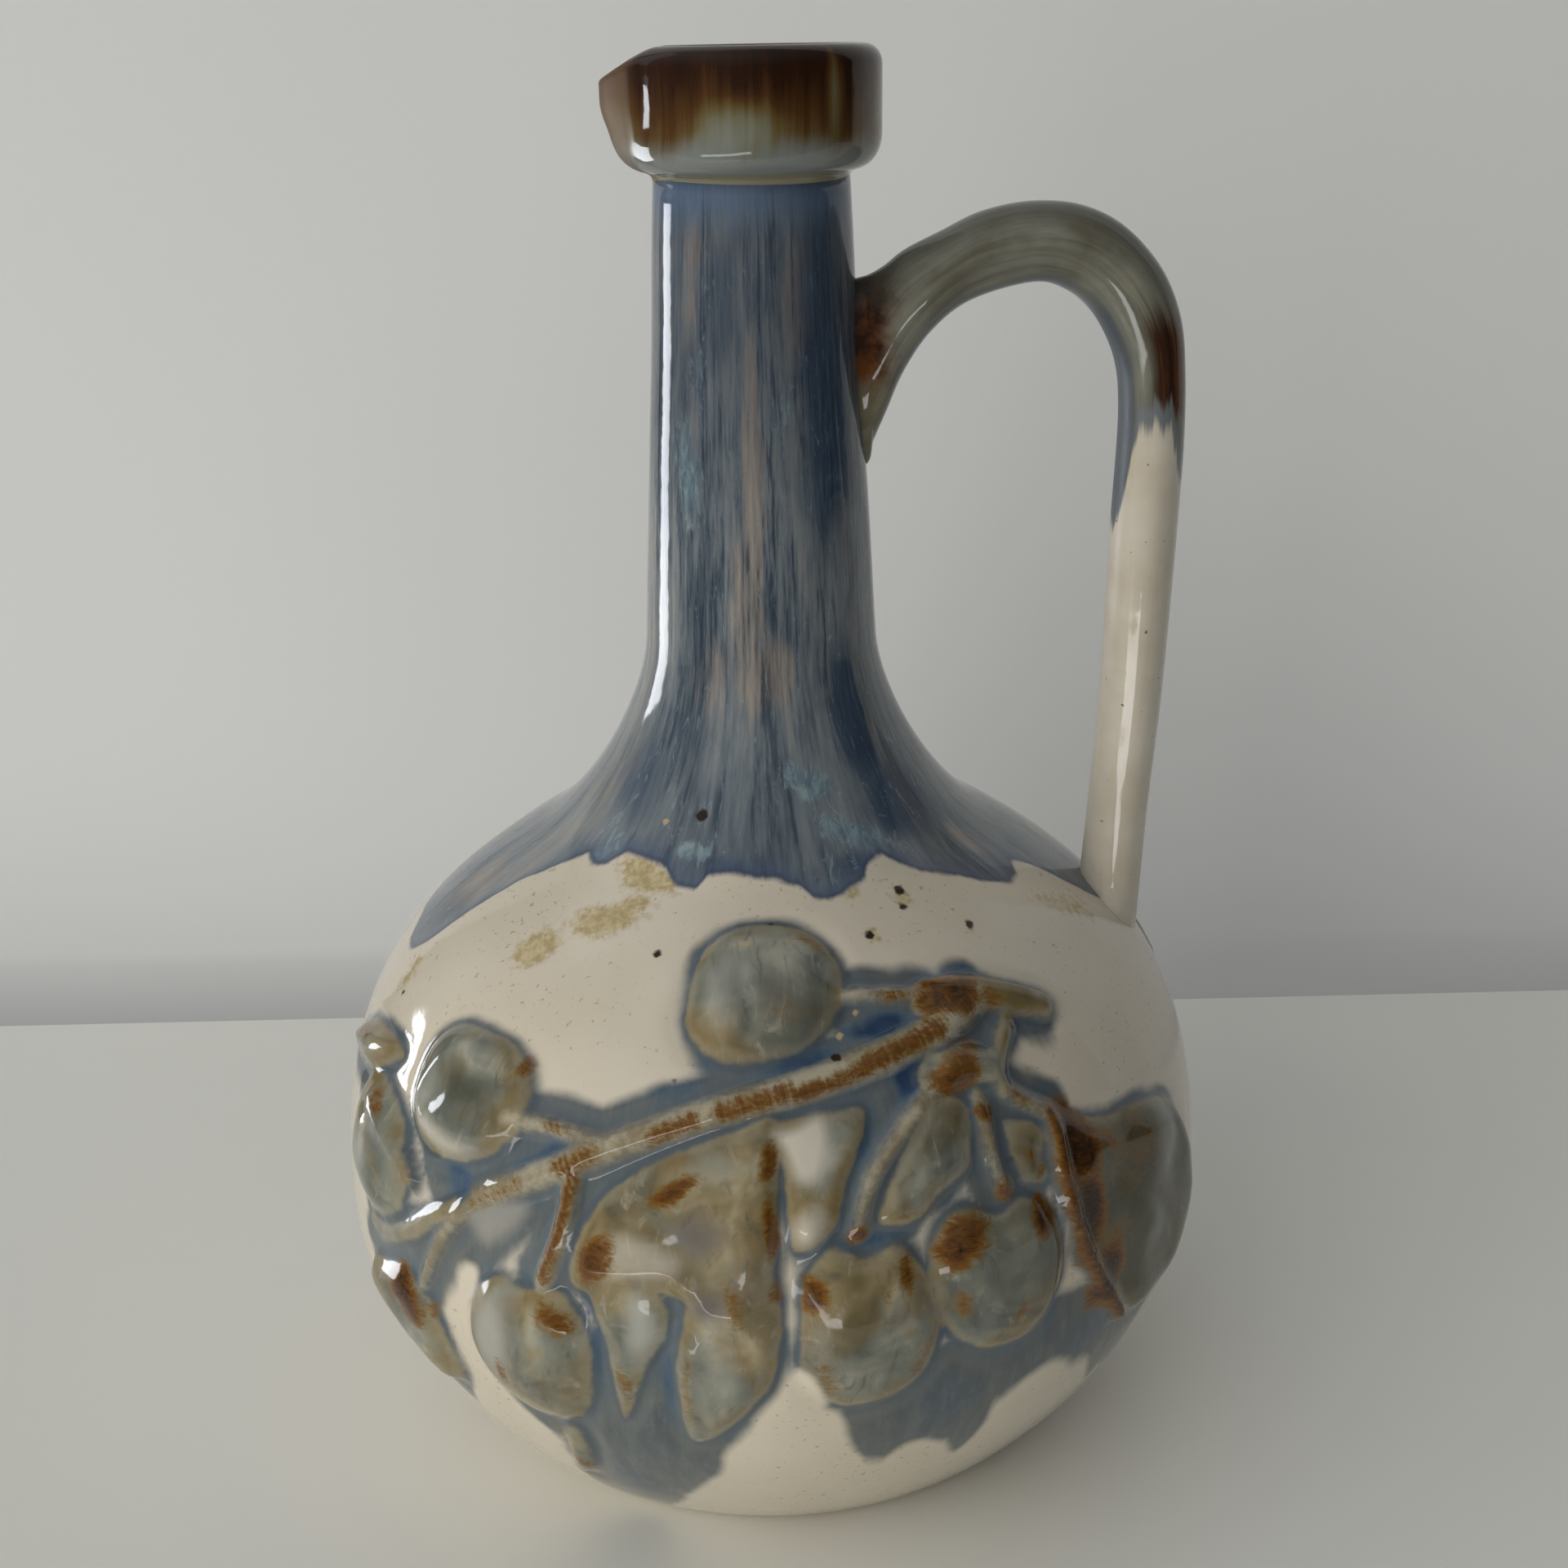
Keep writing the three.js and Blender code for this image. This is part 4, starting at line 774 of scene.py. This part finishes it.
# Cream tin glaze with a reactive blue glaze run over it: thick in hollows, broken to tan on crests, glassy
glaze, tree, marks = startGlaze("reactiveStonewareGlaze", fields, {
    # coordinates, stretch, lump size, detail, roughness, distortion
    "broad": ("place", even, 28, 2, 0.5, 0),
    "lump": ("place", even, 9, 3, 0.5, 0),
    "swirl": ("place", even, 13, 2, 0.5, 1.2),
    "ragged": ("place", even, 3.4, 3, 0.55, 0),
    "grain": ("place", even, 1.6, 3, 0.65, 0),
    "fleck": ("place", even, 1.1, 2, 0.5, 0),
    "warmth": ("place", even, 21, 3, 0.55, 0.6),
    "peel": ("place", even, 4.5, 2, 0.4, 0),
    "bristle": ("place", (0.6, 0.6, 1.3), 1.7, 5, 0.7, 1.4),
    "strokes": ("hatch", (1, 0, 0), 0.9, 2, 0.6, 0),
    "drips": ("flow", (1.6, 1.6, 0.1), 0.95, 5, 0.7, 0),
    "brushed": ("flow", (1, 1, 0.14), 1.1, 5, 0.62, 1.4),
    "runs": ("flow", (1, 1, 0.06), 2.4, 5, 0.62, 0.5),
    "threads": ("flow", (1, 1, 0.07), 0.6, 3, 0.7, 0),
    "clouds": ("flow", (1, 1, 0.35), 12, 3, 0.55, 0),
    "curdle": ("flow", (1, 1, 0.3), 1.5, 4, 0.7, 1.2),
    "dabs": ("flow", (1, 1, 0.2), 1.5, 5, 0.72, 1.6),
})
marks.high = addNode(tree, "SeparateXYZ", (marks.place,), out="Z")  # millimetres over the table

# Cream: warm white with tan stains and sparse iron flecks
cream = layGlaze(tree, "#ded5c3", "#d6ccb8", marks.broad, -0.2, 0.2)
cream = layGlaze(tree, cream, "#957f5c", marks.fleck, 0.16, 0.26, 0.55, (marks.broad, 0.3))
stainTone = layGlaze(tree, "#c6b684", "#a88f55", marks.grain, -0.15, 0.15)
cream = layGlaze(tree, cream, stainTone, marks.stain, 0.1, 0.9, 0.8, (marks.grain, 1.4))

# Glaze over the relief: from tan on crests through olive grey to deep blue in the hollows
depth = addNode(tree, "Math", (marks.breaks, 0.5), **multiply)
for pattern, weight in ((marks.deep, 0.62), (marks.grain, 0.25), (marks.lump, 0.6)):
    depth = addNode(tree, "Math", (pattern, weight, depth), **weigh)
level = addNode(tree, "MapRange", (depth, -1, 1))
pooled = addNode(tree, "ValToRGB", (level,), stops=[
    (0, "#bdb08c"), (0.3, "#9b9378"), (0.46, "#7b7b70"), (0.59, "#6a7071"), (0.73, "#5f6e78"),
    (0.87, "#405a75"), (1, "#213d63")])
level = addNode(tree, "Math", (marks.grain, 0.4, marks.drips), **weigh)
level = addNode(tree, "MapRange", (level, -0.3, 0.3), **smooth)
dripTone = addNode(tree, "ValToRGB", (level,), stops=[(0, "#2d3f52"), (0.5, "#475662"), (1, "#687074")])
share = addNode(tree, "MapRange", (marks.breaks, 0.25, -0.25, 0.25, 0.75), **smooth)
pooled = addNode(tree, "MixRGB", (share, pooled, dripTone))

# Leaves and fruits: cool and warm greys, brushed paler and darker, with a broken brown rim, and pale patches
# that are partly pale glaze and partly painted light on the lit left sides, with a painted highlight on the
# edge fruit
level = addNode(tree, "Math", (marks.lump, 0.6), **multiply)
level = addNode(tree, "Math", (marks.swirl, 1.2, level), **weigh)
level = addNode(tree, "MapRange", (level, -0.4, 0.4))
coolLeaf = addNode(tree, "ValToRGB", (level,), stops=[
    (0.1, "#555c56"), (0.4, "#787c70"), (0.65, "#949586"), (0.9, "#b8b6a6")])
warmLeaf = addNode(tree, "ValToRGB", (level,), stops=[
    (0.1, "#5f5130"), (0.4, "#80704a"), (0.65, "#9a8a64"), (0.9, "#b8ab8a")])
leafTone = layGlaze(tree, coolLeaf, warmLeaf, marks.warmth, -0.1, 0.08)
leafTone = layGlaze(tree, leafTone, "#c4beaa", marks.brushed, 0.04, 0.24, 0.5)
leafTone = layGlaze(tree, leafTone, "#4f4f41", marks.brushed, -0.03, -0.22, 0.6)
# the pale tone is partly painted light: lighter left sides of fruits and leaves where the light falls
for field, most, tone in ((marks.olive, 0.88, "#3a3822"), (marks.pale, 0.8, "#b3b3a8")):
    share = addNode(tree, "Math", (field, most), **multiply)
    leafTone = addNode(tree, "MixRGB", (share, leafTone, tone))
leafEdge = addNode(tree, "Math", (marks.ragged, 1.6, marks.leaf), **weigh)
pooled = layGlaze(tree, pooled, leafTone, leafEdge, 0, 1.3, 0.85)
rimIn = addNode(tree, "MapRange", (leafEdge, 0, 1), **smooth)
rimOut = addNode(tree, "MapRange", (leafEdge, 4.6, 1.2), **smooth)
rimBand = addNode(tree, "Math", (rimIn, rimOut), **multiply)
pooled = layGlaze(tree, pooled, "#7a6639", marks.lump, -0.08, 0.2, 0.75, (marks.swirl, 0.8), rimBand)
lineIn = addNode(tree, "MapRange", (leafEdge, -1.2, -0.2), **smooth)
pooled = layGlaze(tree, pooled, "#4a5660", leafEdge, 0.8, 0, 0.45, within=lineIn)
paleIn = addNode(tree, "MapRange", (leafEdge, 0.2, 1.1), **smooth)
pooled = layGlaze(tree, pooled, "#aba287", leafEdge, 2.6, 0.8, 0.35, (marks.lump, 6), paleIn)
violetTone = layGlaze(tree, "#857c73", "#6a6666", marks.swirl, -0.15, 0.15)
pooled = addNode(tree, "MixRGB", (marks.violet, pooled, violetTone))
pooled = addNode(tree, "MixRGB", (marks.milky, pooled, "#d5cebf"))

# Twigs, where the glaze runs off to tan and cream
woodTone = layGlaze(tree, "#928464", "#bbb29a", marks.lump, -0.2, 0.2, 1, (marks.grain, 0.6))
woodEdge = addNode(tree, "Math", (marks.grain, 0.8, marks.wood), **weigh)
pooled = layGlaze(tree, pooled, woodTone, woodEdge, -0.4, 1.8, 0.85, (marks.ragged, 1))
level = addNode(tree, "Math", (marks.lump, 2.4, marks.cover), **weigh)
coverMask = addNode(tree, "MapRange", (level, -1, 1.4), **smooth)
colour = addNode(tree, "MixRGB", (coverMask, cream, pooled))

# Iron: brushed on, ochre where thin, near black where thick
share = addNode(tree, "MapRange", (marks.wood, 0.2, 1.2), **smooth)
strokes = addNode(tree, "Math", (marks.strokes, share), **multiply)
level = addNode(tree, "Math", (marks.bristle, 1.5, marks.iron), **weigh)
level = addNode(tree, "Math", (level, strokes), operation="ADD")
level = addNode(tree, "Math", (level, 0.72), **multiply)
ironTone = addNode(tree, "ValToRGB", (level,), stops=[
    (0.1, "#7f7249"), (0.35, "#7d5e26"), (0.6, "#714812"), (0.82, "#52300a"), (1, "#2b1505")])
colour = layGlaze(tree, colour, ironTone, level, 0.08, 0.6, 0.95, within=coverMask)

# Upper blue: long runs down the neck that melt together where the flare widens, ragged at the lower edge
calm = addNode(tree, "MapRange", (marks.high, 115, 165, 0.5, 1), **smooth)
threads = addNode(tree, "Math", (marks.threads, calm), **multiply)
level = addNode(tree, "Math", (marks.runs, calm), **multiply)
for pattern, weight in ((marks.clouds, 0.9), (threads, 0.7)):
    level = addNode(tree, "Math", (pattern, weight, level), **weigh)
level = addNode(tree, "MapRange", (level, -0.34, 0.34))
upperTone = addNode(tree, "ValToRGB", (level,), stops=[
    (0, "#343f4c"), (0.25, "#505b66"), (0.48, "#717a81"), (0.68, "#868b8d"), (0.86, "#989894"),
    (1, "#a8a59d")])
threadRuns = addNode(tree, "Math", (threads, 0.7, marks.runs), **weigh)
level = addNode(tree, "MapRange", (threadRuns, -0.3, 0.3), **smooth)
taupeTone = addNode(tree, "ValToRGB", (level,), stops=[(0, "#66625f"), (0.5, "#8b857f"), (1, "#aca297")])
level = addNode(tree, "MapRange", (marks.curdle, -0.25, 0.25), **smooth)
tealTone = addNode(tree, "ValToRGB", (level,), stops=[(0, "#4b6575"), (0.55, "#6f8790"), (1, "#98a9a6")])
level = addNode(tree, "MapRange", (threads, -0.3, 0.3), **smooth)
navyTone = addNode(tree, "ValToRGB", (level,), stops=[(0, "#263244"), (0.6, "#344961"), (1, "#496478")])
navyRuns = addNode(tree, "Math", (threads, 0.4, marks.navy), **weigh)
# Taupe, teal and navy runs, curdled dabs, dark gaps, painted shade darker up the neck, blue pooled at the
# collar and lightened there as a painted highlight, and pooled at the edge
upperTone = layGlaze(tree, upperTone, taupeTone, marks.taupe, 0.25, 0.75, 0.85, (marks.runs, 1.4))
upperTone = layGlaze(tree, upperTone, tealTone, marks.teal, 0.35, 0.85, 0.8, (marks.curdle, 1.6))
upperTone = layGlaze(tree, upperTone, navyTone, navyRuns, 0.1, 0.95, 0.9, (marks.runs, 1.5))
upperTone = layGlaze(tree, upperTone, "#8fa4b2", marks.dabs, 0.1, 0.15, 0.42, (marks.teal, 0.1))
upperTone = layGlaze(tree, upperTone, "#2b3547", threadRuns, -0.1, -0.18, 0.35)
# painted shade: the neck darkened from 165 mm up towards the collar and the handle's joint
upperTone = layGlaze(tree, upperTone, "#333d4d", marks.high, 165, 205, 0.45, (marks.runs, 30))
# blue glaze pooled under the collar, partly a painted highlight: the band is lightened to stand for the
# highlights there
upperTone = layGlaze(tree, upperTone, "#5d7494", marks.high, 217.5, 226.5, 0.7, (marks.runs, 12))
upperTone = layGlaze(tree, upperTone, "#46597a", marks.upper, 5, 0.6, 0.5)
level = addNode(tree, "Math", (marks.drips, 0.8, marks.upper), **weigh)
upperEdge = addNode(tree, "Math", (marks.ragged, 1.6, level), **weigh)
lineIn = addNode(tree, "MapRange", (upperEdge, -0.3, 0.3), **smooth)
upperTone = layGlaze(tree, upperTone, "#2c3644", upperEdge, 1.6, 0.5, 0.35, within=lineIn)
colour = layGlaze(tree, colour, upperTone, upperEdge, -0.8, 0.6)

# Single burnt specks and pinholes
colour = layGlaze(tree, colour, "#2c1d12", marks.spot, -0.15, 0.35, 1, (marks.grain, 0.6))
colour = layGlaze(tree, colour, "#b9a582", marks.paleSpot, -0.1, 0.3)
gloss = addNode(tree, "MapRange", (marks.lump, -0.2, 0.2, 0.05, 0.1))
finishGlaze(vessel, glaze, marks.peel, 0.12, {"Base Color": colour, "Roughness": gloss})
print("vessel glaze mixed")

# Iron-brown glaze of the collar: brown runs, olive where it thins, grey pooled below, worn dull on the lip
# and lighter there, partly a painted reflection of the bright wall
glaze, tree, marks = startGlaze("ironBrownGlaze", ("up", "inner", "olive", "worn"), {
    "runs": ("flow", (1, 1, 0.05), 1.4, 4, 0.62, 0),
    "clouds": ("flow", (1, 1, 0.4), 8, 2, 0.5, 0),
    "peel": ("place", even, 4, 2, 0.4, 0),
})
thin = marks.olive
for pattern, weight in ((marks.clouds, 0.5), (marks.runs, 0.5), (marks.up, -0.75)):
    thin = addNode(tree, "Math", (pattern, weight, thin), **weigh)
level = addNode(tree, "MapRange", (thin, -0.8, 0.45))
brown = addNode(tree, "ValToRGB", (level,), stops=[
    (0, "#1e0f06"), (0.2, "#321a09"), (0.38, "#543718"), (0.54, "#6a5934"), (0.72, "#7a7860"),
    (1, "#8f948a")])
lowEdge = addNode(tree, "Math", (marks.runs, -0.1, marks.up), **weigh)
brown = layGlaze(tree, brown, "#848a87", lowEdge, 0.36, 0.12, 1, (marks.clouds, -0.25))
brown = layGlaze(tree, brown, "#8b8770", marks.up, 0.075, 0.03)
brown = layGlaze(tree, brown, "#4d4630", marks.up, 0.95, 1, 0.5)
# the lip's lighter brown is partly wear and partly a painted reflection of the bright wall on the left
for field, most, tone in ((marks.inner, 0.7, "#4b3a25"), (marks.worn, 0.6, "#735a3c")):
    share = addNode(tree, "Math", (field, most), **multiply)
    brown = addNode(tree, "MixRGB", (share, brown, tone))
look = {"Base Color": brown}
for socket, fresh, worn in (("Roughness", 0.06, 0.5), ("Specular IOR Level", 0.5, 0.25)):
    look[socket] = addNode(tree, "MapRange", (marks.worn, 0, 1, fresh, worn), **smooth)
finishGlaze(collar, glaze, marks.peel, 0.1, look)

# Handle glaze: olive-grey over the arch, rust at the neck and at the bend, bare cream limb
glaze, tree, marks = startGlaze("oliveHandleGlaze", ("outerSide", "joint", "landing", "limb", "speck"), {
    "runs": ("flow", (1, 1, 0.05), 1.5, 4, 0.62, 0),
    "clouds": ("place", even, 12, 3, 0.55, 0),
    "grain": ("place", even, 2, 3, 0.6, 0),
    "fleck": ("place", even, 1.1, 1, 0.5, 0),
    "peel": ("place", even, 5, 2, 0.4, 0),
})
marks.high = addNode(tree, "SeparateXYZ", (marks.place,), out="Z")
level = addNode(tree, "Math", (marks.runs, 0.8, marks.clouds), **weigh)
level = addNode(tree, "MapRange", (level, -0.4, 0.4))
olive = addNode(tree, "ValToRGB", (level,), stops=[
    (0, "#504b3b"), (0.3, "#666252"), (0.55, "#77776b"), (0.78, "#89887a"), (1, "#a2997e")])
olive = layGlaze(tree, olive, "#4f514c", marks.outerSide, 0.45, 0.95, 0.55, (marks.clouds, 0.6))
olive = layGlaze(tree, olive, "#66737b", marks.outerSide, -0.6, -0.95, 0.7, (marks.clouds, 0.6))

# Rust at the neck joint, paler below it, and a rust band round the bend
level = addNode(tree, "Math", (marks.grain, 3, marks.joint), **weigh)
level = addNode(tree, "Math", (marks.clouds, 8, level), **weigh)
nearNeck = addNode(tree, "MapRange", (level, 9, 2.5), **smooth)
level = addNode(tree, "Math", (marks.clouds, 6, marks.high), **weigh)
share = addNode(tree, "MapRange", (level, 213, 205, 0.3, 1), **smooth)
rustTop = addNode(tree, "Math", (nearNeck, share), **multiply)
level = addNode(tree, "Math", (marks.grain, 0.4, marks.clouds), **weigh)
level = addNode(tree, "MapRange", (level, -0.25, 0.25), **smooth)
rustTone = addNode(tree, "ValToRGB", (level,), stops=[(0, "#1a0b03"), (0.5, "#321705"), (1, "#6b3e10")])
olive = layGlaze(tree, olive, rustTone, marks.high, 188, 196, 1, (marks.grain, 6), rustTop)
olive = layGlaze(tree, olive, "#7c7350", marks.high, 195, 190, 0.6, within=nearNeck)
level = addNode(tree, "MapRange", (marks.runs, -0.25, 0.25), **smooth)
bandTone = addNode(tree, "ValToRGB", (level,), stops=[(0, "#231007"), (0.5, "#3d1e0a"), (1, "#6a3d16")])
bandPlace = addNode(tree, "Math", (marks.runs, 12, marks.high), **weigh)
band = marks.limb
for value, low, high, most in ((bandPlace, 208, 200, 1), (marks.outerSide, -0.35, 0.1, 0.95)):
    share = addNode(tree, "MapRange", (value, low, high, 0, most), **smooth)
    band = addNode(tree, "Math", (band, share), **multiply)
olive = layGlaze(tree, olive, bandTone, bandPlace, 187, 189.5, within=band)

# Cream limb with flecks, its upper line lower on the edges, grey along that line and down the inner edge
cream = layGlaze(tree, "#dcd4c4", "#cec4b1", marks.clouds, -0.2, 0.2)
cream = layGlaze(tree, cream, "#5a4630", marks.fleck, 0.24, 0.3, 0.8)
cream = layGlaze(tree, cream, "#24180f", marks.speck, -0.1, 0.25)
creamLine = addNode(tree, "Math", (marks.runs, 9, marks.high), **weigh)
for low, high, drop in ((-0.5, -0.98, 17), (0.35, 0.95, 10)):
    edge = addNode(tree, "MapRange", (marks.outerSide, low, high, 0, drop), **smooth)
    creamLine = addNode(tree, "Math", (creamLine, edge), operation="ADD")
olive = layGlaze(tree, olive, "#7b8186", creamLine, 190.5, 187.5, 0.85, within=marks.limb)
olive = layGlaze(tree, olive, "#414c58", marks.outerSide, -0.45, -0.85, 0.8, within=marks.limb)
olive = layGlaze(tree, olive, cream, creamLine, 186.5, 183.5, within=marks.limb)
footEdge = addNode(tree, "MapRange", (marks.outerSide, -0.3, -0.9), **smooth)
olive = layGlaze(tree, olive, "#3a4a5c", marks.landing, 3.5, 0.5, within=footEdge)
share = addNode(tree, "MapRange", (marks.outerSide, -0.3, -0.7, 0, 0.34), **smooth)
dull = addNode(tree, "Math", (share, marks.limb, 0.06), **weigh)  # thin and dull on the inner edge
finishGlaze(handle, glaze, marks.peel, 0.1, {"Base Color": olive, "Roughness": dull})
print("collar and handle glazes mixed")

# Stage: a pale table top, a plain wall behind it that is clear from its back, soft window light from the left
stageForm = {  # metres
    "table": [(-1.3, -0.28, 0), (1.3, -0.28, 0), (-1.3, 0.141, 0), (1.3, 0.171, 0)], "slab": 0.03,
    "wall": [(-0.26, 0.2, -0.35), (1.3, 0.2, -0.35), (-0.26, 0.2, 1.2), (1.3, 0.2, 1.2)],
    "tablePaint": {"Base Color": "#f0f0ea", "Roughness": 0.45},
    "wallPaint": {"Base Color": "#f6f7f7", "Roughness": 0.8},
}
deselectAll()
bpy.ops.mesh.primitive_plane_add(size=1)
table = bpy.context.active_object
table.name = "tableTop"
writePoints(table, np.array(stageForm["table"], dtype=float))
slab = table.modifiers.new("slab", "SOLIDIFY")
slab.thickness = stageForm["slab"]
slab.offset = -1
paint, tree = newMaterial("matTablePaint")
shader = addNode(tree, "BsdfPrincipled", stageForm["tablePaint"])
addNode(tree, "OutputMaterial", {"Surface": shader})
table.data.materials.append(paint)
deselectAll()
bpy.ops.mesh.primitive_plane_add(size=1)
wall = bpy.context.active_object
wall.name = "backWall"
writePoints(wall, np.array(stageForm["wall"], dtype=float))
plaster, tree = newMaterial("wallPaint")
shader = addNode(tree, "BsdfPrincipled", stageForm["wallPaint"])
behind = addNode(tree, "NewGeometry", out="Backfacing")
oneSided = addNode(tree, "MixShader", (behind, shader, addNode(tree, "BsdfTransparent")))
addNode(tree, "OutputMaterial", {"Surface": oneSided})
wall.data.materials.append(plaster)

lights = {  # place, aim, width, height, power, colour, seen in the gloss, lights the matt colour
    "window": ((-0.82, 0.34, 0.03), (0, 0, 0.14), 0.23, 0.38, 2.2, "#f4f8ff", True, False),
    "windowHigh": ((-0.82, 0.34, 0.75), (0, 0, 0.15), 0.3, 0.8, 0.17, "#eef3fa", True, False),
    "roomLeft": ((-1.5, -1.3, 0.75), (0, 0.1, 0.2), 2.4, 2.0, 26, "#fbf8f2", False, True),
    "tableBounce": ((-0.1, -0.27, 0.004), (0, -0.05, 0.04), 0.3, 0.06, 0.15, "#fffaf0", False, True),
    "floorGlow": ((-0.42, -0.95, -0.2), (0, -0.08, 0.05), 0.9, 0.13, 1.6, "#ffffff", True, False),
}
for name, (spot, aim, wide, tall, power, code, glossy, matt) in lights.items():
    lamp = bpy.data.lights.new(name, "AREA")
    lamp.shape = "RECTANGLE"
    lamp.size = wide
    lamp.size_y = tall
    lamp.energy = power
    lamp.color = hexColour(code)[:3]
    holder = bpy.data.objects.new(name, lamp)
    scene.collection.objects.link(holder)
    holder.location = spot
    holder.rotation_euler = (Vector(aim) - Vector(spot)).to_track_quat("-Z", "Y").to_euler()
    holder.visible_glossy = glossy
    holder.visible_diffuse = matt
world = bpy.data.worlds.new("room")
scene.world = world
world.use_nodes = True
sky = world.node_tree
towards = addNode(sky, "TexCoord", out="Generated")
up = addNode(sky, "SeparateXYZ", (towards,), out="Z")
right = up.node.outputs["X"]
inGloss = addNode(sky, "LightPath", out="Is Glossy Ray")
ceiling = addNode(sky, "MapRange", (up, 0, 0.9, 0.24, 0.65), **smooth)  # a pale ceiling over a dimmer room
for value, low, high, least, most in (
        (right, -0.6, 0.8, 1.1, 0.35),  # darker away from the window
        (inGloss, 0, 1, 1, 0.6)):  # the room's far side is dim in the gloss
    share = addNode(sky, "MapRange", (value, low, high, least, most), **smooth)
    ceiling = addNode(sky, "Math", (ceiling, share), **multiply)
background = sky.nodes["Background"]
background.inputs["Color"].default_value = hexColour("#d6d8da")
sky.links.new(ceiling, background.inputs["Strength"])

# Camera at the photograph's viewing angle
view = {"place": (0.0036, -0.36576, 0.2503), "down": 19.6, "roll": -1.03, "lens": 48.75, "near": 0.01}
lens = bpy.data.cameras.new("camera")
lens.lens = view["lens"]
lens.sensor_width = 36
lens.clip_start = view["near"]
camera = bpy.data.objects.new("camera", lens)
scene.collection.objects.link(camera)
tilt = Matrix.Rotation(math.radians(90 - view["down"]), 4, "X")
roll = Matrix.Rotation(math.radians(view["roll"]), 4, "Z")
camera.matrix_world = Matrix.Translation(view["place"]) @ tilt @ roll
scene.camera = camera

print("scene finished")
